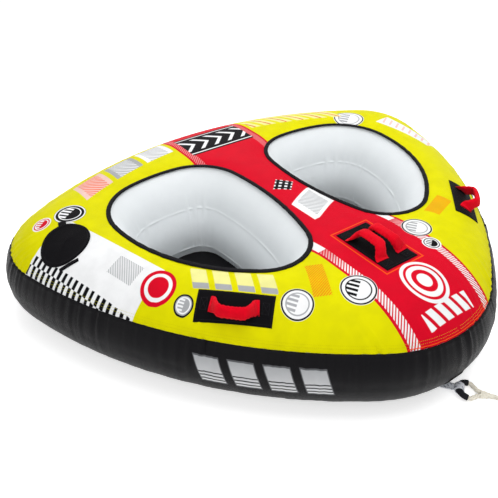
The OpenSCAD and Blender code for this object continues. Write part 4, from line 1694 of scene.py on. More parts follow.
    def _band_folds(self, down: Array) -> Array:
        """Relief of the side band: puckers at its seam and hem, and a crease between.

        Args:
            down: Distance of its rows from the seam.

        Returns:
            The lift of each point.
        """
        top_folds = Ripple(11, self.length, *self.band_waves)(self.run)
        slow = Ripple(12, self.length, *self.slow_waves)(self.run)
        low_folds = Ripple(13, self.length, *self.hem_waves)(self.run)
        base, gain = self.band_vary
        lift = self.band_fold * top_folds * np.exp(-down / self.band_reach) * (base + gain * slow)
        lift = lift + self.seam_roll * bump(down - self.roll_at, self.roll_run)
        lift = lift - self.seam_sink * bump(down, self.sink_run)
        crease = bump(down - self.crease_at - self.crease_sway * slow, self.crease_run)
        base, gain = self.crease_vary
        lift = lift - self.crease * crease * (base + gain * low_folds)
        from_hem = down[-1] - down
        low = self.hem_fold * low_folds * np.exp(-from_hem / self.hem_reach)
        lift = lift + low * ease(from_hem / self.hem_clear)
        return lift - self.hem_dip * bump(from_hem - self.hem_dip_at, self.hem_dip_run)

    def band(self) -> None:
        """Makes the side band."""
        h = self.hull
        first = h.seam_angle + self.seam_step
        upper = np.linspace(0, 1, self.upper_rows) ** self.upper_power
        lower = np.linspace(0, 1, self.lower_rows)[1:]
        rows = np.concatenate([h.upper(first + (90 - first) * upper), h.lower(h.band_end * lower)])
        down = run_of(rows[:, :2])[:, None]
        lift = self._band_folds(down)
        outer = h.side(rows, self.angles, h.cover_out + lift)
        inner = h.side(rows, self.angles, h.cover_out + lift - self.thick)
        nose = np.argmin(np.abs(self.angles - 270))
        signed = self.run - self.run[nose]
        signed = (signed + self.length / 2) % self.length - self.length / 2
        order = np.argsort(signed)
        order = np.append(order, order[0])
        signed = signed[order]
        signed[-1] += self.length
        outer, inner = outer[:, order], inner[:, order]
        uv = np.stack(np.broadcast_arrays(signed, down), -1)
        maker = MeshMaker().grid(outer, uv=uv).grid(inner, uv=uv)
        for k in (0, -1):
            maker.grid(np.stack([outer[k], inner[k]]))
        piece = maker.build("side_cover", weld=WELD)
        place(piece, BAND_CLOTH, "tube", "black_fabric", "side_band")

    def bottom(self) -> None:
        """Makes the bottom panel, which is also the cockpit floor."""
        h = self.hull
        share = np.linspace(0, 1, self.hem_rows)
        rows = h.lower(h.band_end + self.seam_step + (self.floor_end - h.band_end) * share)
        turns = self.angles[::2]
        outer = h.side(rows, turns, h.cover_out)
        inner = h.side(rows, turns, h.cover_out - self.thick)
        shrink = np.linspace(1, 0, self.floor_rows)[1:, None, None]
        outer = np.concatenate([outer, outer[-1] * shrink])
        inner = np.concatenate([inner, inner[-1] * shrink])
        outer[len(rows):, :, 2], inner[len(rows):, :, 2] = 0.0, self.thick
        maker = MeshMaker().grid(outer, True).grid(inner, True)
        maker.grid(np.stack([outer[0], inner[0]]), True)
        piece = maker.build("bottom_cover", weld=WELD)
        place(piece, FLOOR_CLOTH, "tube", "black_fabric", "bottom_panel")

    def bindings(self) -> None:
        """Makes the bound cockpit rims."""
        h = self.hull
        turns, run, length = h.rim.even(self.binding_columns)
        folds = Ripple(21, length, *self.binding_waves)(run)
        round_it = np.arange(self.binding_sides) * 360 / self.binding_sides
        full = 1 + self.binding_fold * folds
        rings = []
        for e in heading(round_it):
            plan = h.rim.at(turns, self.binding_w / 2 * e[0] * full)
            z = self.binding_h / 2 * (1 + np.sign(e[1]) * abs(e[1]) ** self.binding_power * full)
            rings.append(np.column_stack([plan, h.rim_z + self.binding_gap + z]))
        uv = np.stack(np.broadcast_arrays(run, round_it[:, None] * self.binding_uv), -1)
        points = np.array([*rings, rings[0]])
        uv = np.concatenate([uv, uv[:1]])
        for side in Side:
            maker = MeshMaker().grid(points, True, uv)
            piece = maker.build(f"{side.label}_binding", weld=WELD, mirror=side is Side.RIGHT)
            place(piece, EDGE_TAPE, "tube", "black_fabric", f"{side.label}_rim_binding")


@dataclass
class Bladder:
    """The welded air chamber with its two cockpits."""

    hull: Hull
    foot: Pair = (0.084, 0.0015)
    lower_weld: Pair = (0.094, 0.034)
    upper_weld: Pair = (0.071, 0.187)
    swell: float = 0.011
    weld_fold: float = 0.0011
    weld_reach: float = 0.022
    slow_wave: float = 0.0016
    inset: float = 0.004
    edge: float = 0.008
    rim_run: float = 1.5
    weld_waves: Pair = (0.025, 0.09)
    slow_waves: Pair = (0.15, 0.6)
    weld_flat: float = 0.004
    weld_bead: float = 0.0035
    wall_rows: tuple[int, int, int] = (5, 26, 26)
    deck_rows: int = 7
    upper_rows: int = 4
    lower_rows: int = 8
    inset_gain: int = 4

    def _wall(self) -> tuple[Array, Array]:
        """Profile of a cockpit wall.

        Returns:
            (distance in from the rim, height) from the foot up, and (in, up) normals.
        """
        parts = []
        spots = [self.foot, self.lower_weld, self.upper_weld, (0.0, self.hull.rim_z)]
        swells = (0.0, self.swell, self.swell)
        for low, high, count, swell in zip(spots, spots[1:], self.wall_rows, swells):
            low, d = np.array(low), np.array(high) - np.array(low)
            n = unit(np.array([d[1], -d[0]]))
            t = ease(np.arange(count) / count)[:, None]
            parts.append(low + d * t + n * swell * np.sin(np.pi * t))
        profile = np.concatenate([*parts, [spots[-1]]])
        along = unit(np.gradient(profile, axis=0))
        return profile, np.column_stack([along[:, 1], -along[:, 0]])

    def _cockpit(self, columns: Columns) -> Array:
        """The wall round a cockpit, with folds at its welds.

        Args:
            columns: The lines of the left half.

        Returns:
            Rows of points from the foot up.
        """
        h = self.hull
        profile, normal = self._wall()
        turn = columns.rim / 360 * self.rim_run
        run = run_of(profile)[:, None]
        lift = np.zeros((len(profile), len(turn)))
        for seed, weld in ((31, self.lower_weld), (32, self.upper_weld)):
            at = run[np.argmin(np.linalg.norm(profile - weld, axis=1))]
            folds = Ripple(seed, self.rim_run, *self.weld_waves)(turn)
            off = np.abs(run - at)
            flat = 1 - bump(off, self.weld_flat)
            lift += self.weld_fold * folds * np.exp(-off / self.weld_reach) * flat
            lift += self.weld_fold * bump(off, self.weld_bead)
        slow = Ripple(33, self.rim_run, *self.slow_waves)(turn)
        lift += self.slow_wave * slow * np.sin(np.pi * np.clip(run / run[-1], 0, 1))
        spots = profile[:, None] + normal[:, None] * lift[..., None]
        plan = h.rim.at(np.broadcast_to(columns.rim, lift.shape), -spots[..., 0])
        wall = np.concatenate([plan, spots[..., 1:]], -1)
        wall[0, :, 2] = h.base_z
        return wall

    def _outside(self, columns: Columns) -> tuple[Array, Array, Array]:
        """The faces under the cover.

        Args:
            columns: The lines of the left half.

        Returns:
            Rows of the deck and of the side, and the line round the underside.
        """
        h = self.hull
        share = np.linspace(0, 1, self.deck_rows)[:, None, None]
        deck, normals = h.deck(columns.start + (columns.end - columns.start) * share)
        deck = deck - normals * self.inset * ease(self.inset_gain * share)
        deck[-1, : h.centre_columns + 1, 0] = 0
        edge = columns.edge
        upper = np.linspace(h.seam_angle, 90, self.upper_rows)
        lower = np.linspace(0, 90, self.lower_rows)[1:]
        sections = np.concatenate([h.upper(upper), h.lower(lower)])
        side = h.side(sections, columns.seam[edge], -self.inset)
        side[-1, :, 2] = h.base_z
        side[:, [0, -1], 0] = 0
        side[0] = deck[-1, edge]
        under = np.zeros_like(deck[0])
        under[edge] = side[-1]
        middle = np.arange(1, h.centre_columns)
        reach = (columns.end[middle, 1] - h.nose_y) / (h.rear_y - h.nose_y)
        first, last = side[-1, -1, 1], side[-1, 0, 1]
        under[middle] = np.column_stack([0 * reach, first + (last - first) * reach, 0 * reach + h.base_z])
        return deck, side, under

    def build(self, valve: "Valve") -> None:
        """Makes the bladder.

        Args:
            valve: The valve, which needs a pocket.
        """
        columns = self.hull.columns(self.edge)
        wall = self._cockpit(columns)
        deck, side, under = self._outside(columns)
        maker = MeshMaker()
        for flip in HALVES:
            maker.grid(np.concatenate([wall, deck]) * flip, True)
            maker.grid(side * flip)
            maker.grid(np.stack([under, wall[0]]) * flip, True)
        piece = maker.build("bladder_skin", weld=WELD)
        cut(piece, valve.pocket())
        place(piece, VINYL_SKIN, "tube", "bladder_pvc", "bladder")


@dataclass
class Drape:
    """A rectangle of cloth laid on the cover."""

    hull: Hull
    spot: Pair
    angle: float
    length: float
    width: float
    low: float = 0.0007
    high: float = 0.0023
    hem: float = 0.007
    step: float = 0.006
    hem_high: float = 0.0008
    wave: float = 0.00025
    edge_drop: float = 0.0007
    edge_run: float = 0.002
    on_face: float = 0.0009
    edge_share: float = 0.985
    least_rows: int = 6
    wave_rates: tuple[int, int, int] = (210, 90, 170)
    wave_sway: int = 3
    side_points: int = 40

    def plan(self, along: Any, across: Any) -> Array:
        """Plan points by place in the rectangle.

        Args:
            along: Distance along it from its middle.
            across: Distance across it from its middle.

        Returns:
            Plan points.
        """
        e, f = heading(self.angle), heading(self.angle + 90)
        return (
            np.array(self.spot)
            + np.asarray(along)[..., None] * e
            + np.asarray(across)[..., None] * f
        )

    def mesh(self, maker: MeshMaker) -> MeshMaker:
        """Adds the cloth with its folded hem.

        Args:
            maker: Takes the mesh.

        Returns:
            The maker.
        """

        def spaced(size: float) -> Array:
            """Returns: places over a size, closer at its edges."""
            t = np.linspace(-1, 1, max(self.least_rows, int(size / self.step)))
            return size / 2 * np.sort(np.concatenate([t, [-self.edge_share, self.edge_share]]))

        a, b = np.meshgrid(spaced(self.length), spaced(self.width), indexing="ij")
        inside = np.minimum(self.length / 2 - abs(a), self.width / 2 - abs(b))
        rise = ease(inside / self.edge_run)
        hem = self.hem_high * ease((self.hem - inside) / self.edge_run) * rise
        first, second, third = self.wave_rates
        sway = self.wave_sway * np.sin(b * second)
        wave = self.wave * np.sin(a * first + sway) * np.sin(b * third)
        plan = self.plan(a, b)
        top = self.hull.seat(plan, self.high - self.edge_drop * (1 - rise) + hem + wave)
        return maker.shell(top, self.hull.seat(plan, self.low))

    def frame(self, inset: float) -> Array:
        """A line round the rectangle, on its face.

        Args:
            inset: Distance in from its edge.

        Returns:
            Points of the line.
        """
        a, b = self.length / 2 - inset, self.width / 2 - inset
        corners = np.array([(-a, -b), (a, -b), (a, b), (-a, b), (-a, -b)])
        sides = [np.linspace(p, q, self.side_points)[:-1] for p, q in zip(corners, corners[1:])]
        line = np.concatenate(sides)
        return self.hull.seat(self.plan(line[:, 0], line[:, 1]), self.high + self.on_face)


@dataclass
class Grip:
    """A padded webbing band that stands on its two sewn ends and leans over."""

    hull: Hull
    label: str
    side: Side
    spot: Pair
    angle: float
    lean: float
    roll: float
    span: float = 0.122
    width: float = 0.042
    thick: float = 0.012
    turn_h: float = 0.021
    neck: float = 0.012
    rise: float = 0.020
    seat_lift: float = 0.0023
    sag: float = 0.0
    waist: float = 0.16
    foot_at: float = 1.08
    foot_run: float = 0.55
    foot_lift: float = 0.0022
    foot_wide: float = 1.06
    foot_thick: float = 0.40
    thick_gain: float = 0.42
    fold_pitch: float = 0.012
    fold_depth: float = 0.0012
    edge_wave: float = 0.0009
    sewn_rows: int = 5
    route_points: int = 25
    ring_points: int = 28
    pad_l: float = 0.036
    pad_out: float = 0.0155
    box_l: float = 0.022
    box_out: float = 0.006
    box_inset: float = 0.002
    press: float = 4.0
    swell_cap: float = 0.003
    route_step: float = 0.003
    flat_power: float = 0.75
    crown_power: float = 0.8
    fold_sway: float = 1.5
    fold_rate: float = 60
    gather_mix: Pair = (0.6, 0.4)
    sharp: float = 75
    pad_inset: float = 0.003
    pad_low: float = 0.0002
    pad_high: float = 0.0013
    pad_hem: float = 0.003
    box_narrow: float = 0.010
    cross_points: int = 20
    cross_lift: float = 0.0006

    def __post_init__(self) -> None:
        """Places the grip's own frame, on the left side."""
        e, f = heading(self.angle), heading(self.angle + 90)
        p, reach = np.array(self.spot), self.width / 2
        z = self.hull.seat(np.array([p + reach * f, p - reach * f, p]))[:, 2]
        slope = math.atan2(z[0] - z[1], 2 * reach)
        c, s = math.cos(slope), math.sin(slope)
        self.along = np.array([*e, 0.0])
        self.across = np.array([*(f * c), s])
        self.normal = np.array([*(-f * s), c])
        foot = np.array([*p, z[2] + self.seat_lift])
        self.origin = foot + self.turn_h * self.normal
        tilt = math.radians(self.lean)
        self.up = math.cos(tilt) * self.normal - math.sin(tilt) * self.across

    def _route(self) -> Array:
        """Rows of (point, width, thickness, lean share) along the band.

        Returns:
            The rows, from one sewn end to the other.
        """
        half, e = self.span / 2, heading(self.angle)
        rows = []
        for q in np.linspace(-self.foot_at, self.foot_at, self.route_points):
            free = float(ease((self.foot_at - abs(q)) / self.foot_run))
            plan = np.array(self.spot) + q * half * e
            foot = self.hull.seat(plan, self.seat_lift + self.foot_lift)
            height = self.neck + self.rise * math.sqrt(max(0.0, 1 - q * q))
            arch = self.origin + q * half * self.along + height * self.up
            point = foot + (arch - foot - self.sag * self.normal) * free
            wide = self.width * (self.foot_wide - self.waist * free)
            thick = self.thick * (self.foot_thick + self.thick_gain * free)
            rows.append([*point, wide, thick, free])
        return through(rows, self.route_step)

    def _rings(self, rows: Array) -> tuple[Array, Array]:
        """The band's rings, gathered where it is thick.

        Args:
            rows: Rows of the route.

        Returns:
            The rings, and a UV pair for each point.
        """
        path = rows[:, :3]
        along = unit(np.gradient(path, axis=0))
        tilt = np.radians(self.roll) * np.clip(rows[:, 5:6], 0, 1)
        wide = np.cos(tilt) * self.across + np.sin(tilt) * self.normal
        wide = unit(wide - along * (wide * along).sum(-1, keepdims=True))
        over = np.cross(along, wide)
        run = run_of(path)
        c, s = circle(1.0, self.ring_points).T
        flat = np.sign(c) * np.abs(c) ** self.flat_power
        crown = np.sign(s) * np.abs(s) ** self.crown_power
        sway = self.fold_sway * np.sin(run * self.fold_rate)
        fold = np.sin(run * math.tau / self.fold_pitch + sway)
        soft = np.clip(rows[:, 4] / self.thick, 0, 1) ** 2
        fold = (fold * soft)[:, None]
        base, gain = self.gather_mix
        gather = self.fold_depth * fold * np.abs(s) * (base - gain * crown)
        across = rows[:, 3:4] / 2 * flat + self.edge_wave * fold * c**5
        lift = rows[:, 4:5] / 2 * crown + gather * np.sign(crown)
        rings = path[:, None] + across[..., None] * wide[:, None] + lift[..., None] * over[:, None]
        return rings, np.stack(np.broadcast_arrays(run[:, None], across), -1)

    def band(self) -> None:
        """Makes the band, arched between its sewn ends and filled in a short cloth simulation; it rides
        on no body.
        """
        rings, uv = self._rings(self._route())
        mirror = self.side is Side.RIGHT
        maker = MeshMaker().tube(rings, uv)
        piece = maker.build(f"{self.label}_grip_band", mirror=mirror, sharp=self.sharp)
        order = np.arange(len(rings) * self.ring_points)
        ends = np.minimum(order, order[::-1]) // self.ring_points < self.sewn_rows
        swell(piece, order[ends].tolist(), self.press, self.swell_cap)
        nodes = (f"{self.label}_grip_sleeve", f"{self.label}_grip_core")
        place(piece, GRIP_WEBBING, None, "red_webbing", *nodes)
        flip = HALVES[mirror]
        low = 0.5 * self.turn_h * math.cos(math.radians(self.lean))
        start, end = self.origin - low * self.up, self.origin + self.neck * self.up
        f"{self.label}_grip"
        tuple(start * flip)
        tuple(end * flip)
        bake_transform(piece)

    def pads(self) -> None:
        """Makes the sewn pads that hold the band's ends, with their box stitching."""
        maker, rows, e = MeshMaker(), [], heading(self.angle)
        for sign in (-1, 1):
            spot = np.array(self.spot) + sign * (self.span / 2 + self.pad_out) * e
            low, high = self.seat_lift + self.pad_low, self.seat_lift + self.pad_high
            pad = Drape(self.hull, tuple(spot), self.angle, self.pad_l, self.width - self.pad_inset,
                        low=low, high=high, hem=self.pad_hem)
            pad.mesh(maker)
            sewn = Drape(self.hull, tuple(spot + sign * self.box_out * e), self.angle, self.box_l,
                         self.width - self.box_narrow, high=self.seat_lift + self.foot_lift)
            rows.append(sewn.frame(self.box_inset))
            a, b = sewn.length / 2 - self.box_inset, sewn.width / 2 - self.box_inset
            t = np.linspace(-1, 1, self.cross_points)
            for turn in (-1, 1):
                plan = sewn.plan(a * t, turn * b * t)
                rows.append(self.hull.seat(plan, sewn.high + self.cross_lift))
        mirror = self.side is Side.RIGHT
        piece = maker.build(f"{self.label}_grip_pads", WELD, mirror=mirror)
        place(piece, BLACK_CLOTH, "tube", "black_fabric", f"{self.label}_grip_tabs")
        sew(f"{self.label}_grip_stitches", rows, BOX_STITCH, "tube", mirror=mirror)


@dataclass
class GripSet:
    """The four grips and the patches that they are sewn to."""

    hull: Hull
    side_spot: Pair = (-0.463, -0.330)
    side_angle: float = -45.0
    side_size: Pair = (0.208, 0.078)
    centre_x: float = -0.040
    centre_y: float = -0.378
    centre_size: Pair = (0.206, 0.122)
    patch_inset: float = 0.0045
    grips: list[Grip] = field(init=False)

    def __post_init__(self) -> None:
        """Sets out the grips."""
        self.grips = []
        for side in Side:
            self.grips.append(
                Grip(
                    self.hull, side.label, side, self.side_spot, self.side_angle,
                    lean=68.0, roll=40.0,
                )
            )
            self.grips.append(
                Grip(
                    self.hull, f"centre_{side.label}", side, (self.centre_x, self.centre_y), 90.0,
                    lean=34.0, roll=0.0, rise=0.015, sag=0.005, waist=0.09,
                )
            )

    def build(self) -> None:
        """Makes patches, stitching, pads and bands."""
        flank = Drape(self.hull, self.side_spot, self.side_angle, *self.side_size)
        middle = Drape(self.hull, (0.0, self.centre_y), 90.0, *self.centre_size)
        for name, drape in (("left", flank), ("right", flank), ("centre", middle)):
            mirror = name == Side.RIGHT.label
            piece = drape.mesh(MeshMaker()).build(f"{name}_patch", WELD, mirror=mirror)
            place(piece, BLACK_CLOTH, "tube", "black_fabric", f"{name}_grip_patch")
            rows = [drape.frame(self.patch_inset)]
            sew(f"{name}_patch_stitches", rows, SEAM_STITCH, "tube", mirror=mirror)
        for grip in self.grips:
            grip.pads()
            grip.band()


@dataclass
class Valve:
    """The air valve with the cloth flap over it."""

    hull: Hull
    spot: Pair = (-0.720, 0.180)
    access_r: float = 0.048
    flange_r: float = 0.042
    flange_t: float = 0.003
    drop: float = 0.009
    body_r: float = 0.0225
    depth: float = 0.034
    flap_r: float = 0.075
    flap_t: float = 0.0022
    gap: float = 0.00095
    tab: Pair = (0.020, 0.024)
    tab_heading: float = 73.0
    hem: Pair = (0.012, 0.058)
    hem_high: float = 0.0009
    dome: float = 0.0018
    dish: float = 0.0010
    curl: float = 0.0022
    wave: float = 0.0005
    edge_drop: float = 0.0008
    clear: float = 0.0003
    cut_sides: int = 72
    access_span: Pair = (-0.02, 0.04)
    flange_clear: float = 0.0004
    flange_top: float = 0.05
    cut_over: float = 0.001
    flap_rows: tuple[float, ...] = (0.02, 0.2, 0.4, 0.6, 0.75, 0.86, 0.89, 0.92, 0.96, 0.99, 1.0)
    flap_columns: int = 96
    flap_under: float = 0.9
    hinge_share: float = 0.03
    hinge_run: float = 0.25
    hem_in: Pair = (0.87, 0.03)
    hem_out: Pair = (1.001, 0.02)
    dome_vary: Triple = (0.6, 0.4, 40)
    dish_at: float = 0.55
    dish_run: float = 0.2
    wave_count: int = 7
    edge_run: float = 0.02
    stitch_share: float = 0.90
    stitch_points: int = 181
    stitch_rise: Pair = (0.0009, 0.0016)
    tab_hem: float = 0.003

    def __post_init__(self) -> None:
        """Places the valve's axis."""
        plan = np.array([self.spot])
        self.seat = self.hull.seat(plan)[0]
        self.axis = self.hull.deck(plan)[1][0]

    def tool(self, name: str, radius: float, low: float, high: float) -> Piece:
        """A round cutter on the valve's axis.

        Args:
            name: Its name.
            radius: Its radius.
            low: Its lower end.
            high: Its upper end.

        Returns:
            The cutter.
        """
        ends = self.seat + np.outer([low, high], self.axis)
        rings = rings_along(ends, circle(radius, self.cut_sides), (0.0, 1.0, 0.0))
        return MeshMaker().tube(rings).build(name)

    def access(self) -> Piece:
        """Returns: a cutter for the hole in the top."""
        return self.tool("access", self.access_r, *self.access_span)

    def pocket(self) -> list[Piece]:
        """Makes cutters for the valve's seat in the bladder.

        Returns:
            The cutters.
        """
        floor = -self.drop - self.flange_t - self.clear
        low, high = floor - self.depth, floor + self.cut_over
        return [
            self.tool("flange_cut", self.flange_r + self.flange_clear, floor, self.flange_top),
            self.tool("body_cut", self.body_r + self.clear, low, high),
        ]

    def _flap(self) -> None:
        """Makes the flap and its stitches, flat at the hinge and curled at the tab."""
        share = np.array(self.flap_rows)[:, None]
        turns = np.arange(self.flap_columns) * 360 / self.flap_columns
        plan = np.array(self.spot) + self.flap_r * share[..., None] * heading(turns)
        tab_side = np.cos(np.radians(turns - self.tab_heading))
        from_hinge = ease((1.0 + share * tab_side - self.hinge_share) / self.hinge_run)
        (start, rise), (end, fall) = self.hem_in, self.hem_out
        hem = self.hem_high * ease((share - start) / rise) * ease((end - share) / fall) * from_hinge
        base, gain, turned = self.dome_vary
        vary = base + gain * np.sin(np.radians(2 * turns + turned))
        dome = self.dome * (1 - share**2) * vary
        dish = -self.dish * bump(share - self.dish_at, self.dish_run)
        curl = self.curl * share**3 * np.clip(tab_side, 0, 1) ** 2
        soft = self.wave * np.sin(np.radians(self.wave_count * turns)) * share**2
        lift = (dome + dish + curl + soft) * from_hinge
        edge = self.edge_drop * (1 - ease((1.0 - share) / self.edge_run))
        top = self.hull.seat(plan, self.gap + self.flap_t + lift + hem - edge)
        under = self.hull.seat(plan, self.gap + lift * self.flap_under)
        flap = MeshMaker().tube(np.concatenate([top, under[::-1]])).build("flap_cloth")
        place(flap, BLACK_CLOTH, "flap", "black_fabric", "valve_flap")
        2 * self.flap_r
        2 * self.flap_r
        math.pi * self.flap_r**2
        turns = np.linspace(0, 360, self.stitch_points)
        ring = np.array(self.spot) + (self.flap_r * self.stitch_share) * heading(turns)
        side = np.cos(np.radians(turns - self.tab_heading))
        base, gain = self.stitch_rise
        rise = base + gain * np.clip(side, 0, 1) ** 2
        line = self.hull.seat(ring, self.gap + self.flap_t + rise)
        sew("flap_stitches", [line], STRAP_STITCH, "flap")

    def _tabs(self) -> None:
        """Makes the flap's pull tab and the hem at its hinge."""
        e = heading(self.tab_heading)
        for name, body, sign, size, thick, inset in (
            ("flap_tab", "flap", 1, self.tab, 0.0026, 0.0025),
            ("flap_hem", "tube", -1, self.hem, 0.0009, 0.0045),
        ):
            spot = np.array(self.spot) + sign * (self.flap_r + self.gap + size[0] / 2) * e
            drape = Drape(self.hull, tuple(spot), self.tab_heading, *size, low=self.gap,
                          high=self.gap + thick, hem=self.tab_hem)
            piece = drape.mesh(MeshMaker()).build(name, WELD)
            place(piece, BLACK_CLOTH, body, "black_fabric", f"valve_{name}")
            sew(f"{name}_stitches", [drape.frame(inset)], HEM_STITCH, body)

    def build(self, nodes: Nodes) -> None:
        """Makes the flap with its tab and hem, and gives the moulded parts their finish.

        Args:
            nodes: The CAD nodes.
        """
        self._flap()
        self._tabs()
        for name in ("valve_base", "valve_cap", "valve_tether"):
            paint(nodes[name], VALVE_PLASTIC)
        paint(nodes["valve_diaphragm"], VALVE_RUBBER)


@dataclass
class RearZip:
    """The zip in the rear of the side band."""

    hull: Hull
    half: float = 12.5
    tape_w: float = 0.028
    tape_t: float = 0.001
    ridge_z: float = 0.0044
    stitch_z: float = 0.0105
    gap: float = 0.0003
    points: int = 160
    ridge: Pair = (1.2, 0.0006)
    hem: Pair = (0.6, 0.0008)
    sharp: float = 35

    def build(self, nodes: Nodes) -> None:
        """Makes the tape and its stitching, and gives the moulded parts their finish.

        Args:
            nodes: The CAD nodes.
        """
        h = self.hull
        inner = h.rear_r + h.bulge + h.cover_out + self.gap
        turns = 90 + np.linspace(-self.half, self.half, self.points)
        centre = np.array([0, h.rear_y - h.rear_r])

        def arc(radius: float, z: float) -> Array:
            """Returns: a line along the zip."""
            plan = centre + radius * heading(turns)
            return np.column_stack([plan, np.full(len(turns), h.bulge_z + z)])

        w, t, z = self.tape_w / 2, self.tape_t, self.ridge_z
        (full, run), (thin, hem) = self.ridge, self.hem
        half = [(t * full, z), (t, z + run), (t, w - hem), (t * thin, w), (0, w)]
        section = [(r, -z) for r, z in half[::-1]] + half
        rings = np.stack([arc(inner + r, z) for r, z in section], 1)
        piece = MeshMaker().tube(rings).build("zip_cloth", sharp=self.sharp)
        place(piece, BLACK_CLOTH, "tube", "zip_plastic", "zip_tape")
        rows = [arc(inner + t + self.gap, z) for z in (-self.stitch_z, self.stitch_z)]
        sew("zip_stitches", rows, ZIP_STITCH, "tube", "zip_plastic")
        for name, finish in (("teeth", ZIP_COIL), ("slider", ZIP_PLASTIC), ("pull", ZIP_PLASTIC)):
            paint(nodes[f"zip_{name}"], finish)


@dataclass
class TowLead:
    """The tow strap with the spliced rope that lies on the floor before the nose."""

    hull: Hull
    strap_w: float = 0.038
    fold_w: float = 0.024
    webbing_t: float = 0.0025
    turn: float = 38.0
    strap_l: float = 0.062
    rope_d: float = 0.014
    chafe_r: float = 0.0088
    eye_r: float = 0.028
    eye_l: float = 0.060
    splice_l: float = 0.035
    knot_size: float = 0.009
    knot_turn: float = 26.0
    knot_reach: float = 0.0255
    patch_t: float = 0.0016
    clear: float = 0.0003
    leg_gap: float = 0.0004
    twist: float = 0.042
    knot_twist: float = 0.030
    step: float = 0.003
    patch_half: float = 3.4
    cup: float = 0.0008
    stitch_share: float = 0.38
    stitch_lift: float = 1.35
    chafe_t: float = 0.0015
    chafe_end: float = 84.0
    chafe_wave: float = 0.025
    chafe_points: int = 61
    chafe_sides: int = 24
    patch_shares: Triple = (0.25, 0.5, 0.75)
    patch_rows: int = 14
    strand_r: float = 0.56
    strand_out: float = 0.47
    strand_sides: int = 10
    strands: int = 3
    leg_points: int = 8
    bend_points: int = 17
    knot_points: int = 121
    knot_loop: Pair = (1.5, 0.9)
    knot_back: float = 60
    knot_thin: float = 2.8
    splice_rows: int = 40
    splice_sides: int = 24
    tuck: float = 0.09
    tuck_twist: float = 1080
    splice_flat: float = 0.95
    strap_rows: int = 34
    strap_columns: int = 13
    sewn_from: int = 4
    fold_sides: int = 48
    fold_edge: Pair = (0.0006, 0.46)
    fold_hollow: float = 0.0002
    rope_sharp: float = 80
    webbing_sharp: float = 40
    rope_steps: tuple[Triple, ...] = (
        (0.0, 0.0, 0.0),
        (0.009, -0.011, 0.0),
        (0.021, -0.022, 0.0),
        (0.036, -0.031, 0.0),
        (0.053, -0.037, 0.0),
        (0.073, -0.040, 0.0),
        (0.093, -0.040, 0.0),
        (0.111, -0.037, 0.001),
        (0.127, -0.032, 0.004),
        (0.141, -0.025, 0.007),
    )

    def __post_init__(self) -> None:
        """Places the fold and the rope."""
        h = self.hull
        off = h.cover_out + self.patch_t + 2 * self.clear
        self.patch_angles = h.band_end * np.array(self.patch_shares)
        root = h.side(h.lower(self.patch_angles[2]), np.array([270.0]), off)[0, 0]
        self.root = np.array([0.0, root[1], root[2]])
        reach = self.eye_r - math.sqrt((self.eye_r - self.chafe_r) ** 2 - (self.fold_w / 2) ** 2)
        self.bore = (reach + self.chafe_r) / 2 + self.clear
        self.fold_r = self.bore + self.webbing_t
        self.ahead = np.array([*heading(self.turn - 90), 0.0])
        self.aside = np.array([*heading(self.turn), 0.0])
        self.fold = np.array([0, self.root[1], self.fold_r]) + self.strap_l * self.ahead
        self.eye_back = (reach - self.chafe_r) / 2
        self.rope_z = self.rope_d / 2 - self.fold_r
        start = self.eye_l + self.splice_l + 2 * self.clear - self.eye_back
        self.rope_start = self.fold + start * self.ahead + [0, 0, self.rope_z]

    def _at(self, local: Array) -> Array:
        """Points of the eye's frame in the shared frame.

        Args:
            local: (aside, ahead, up) from the eye's bend.

        Returns:
            The points.
        """
        p = np.asarray(local, float)
        base = self.fold - self.eye_back * self.ahead
        return base + p[..., :1] * -self.aside + p[..., 1:2] * self.ahead + p[..., 2:] * [0, 0, 1]

    def _strands(
        self, name: str, node: str, path: Array, radius: float, pitch: float
    ) -> Piece:
        """Makes a rope of three strands twisted round a path.

        Args:
            name: Name of the piece.
            node: The CAD node that it stands for.
            path: Points of the path.
            radius: Radius of the rope.
            pitch: Length of a full twist.

        Returns:
            The rope.
        """
        maker, run = MeshMaker(), run_of(path)
        ring = circle(radius * self.strand_r, self.strand_sides)
        round_it = np.arange(self.strand_sides) / self.strand_sides
        uv = np.stack(np.broadcast_arrays(run[:, None] / pitch, round_it), -1)
        for k in range(self.strands):
            turns = 360 * run / pitch + 360 // self.strands * k
            centre = radius * self.strand_out * heading(turns)
            maker.tube(rings_along(path, centre[:, None] + ring[None]), uv)
        rope = maker.build(name, sharp=self.rope_sharp)
        return place(rope, ROPE_YARN, "tow_lead", "rope", node)

    def _eye(self) -> Array:
        """Path of the rope's eye: one leg, the bend and the other leg.

        Returns:
            Points in the eye's own frame.
        """
        leg_x = self.rope_d / 2 + self.leg_gap
        t = np.arange(1, self.leg_points + 1) / self.leg_points
        x = leg_x + (self.eye_r - leg_x) * (1 - ease(t))
        leg = np.column_stack([x, self.eye_r + (self.eye_l - self.eye_r) * t])
        a = np.radians(np.linspace(-90, 90, self.bend_points))
        bend = np.column_stack([self.eye_r * np.sin(a), self.eye_r * (1 - np.cos(a))])
        flat = np.concatenate([leg[::-1] * [-1, 1], bend, leg])
        return np.column_stack([flat, self.rope_z * ease(flat[:, 1] / self.eye_l)])

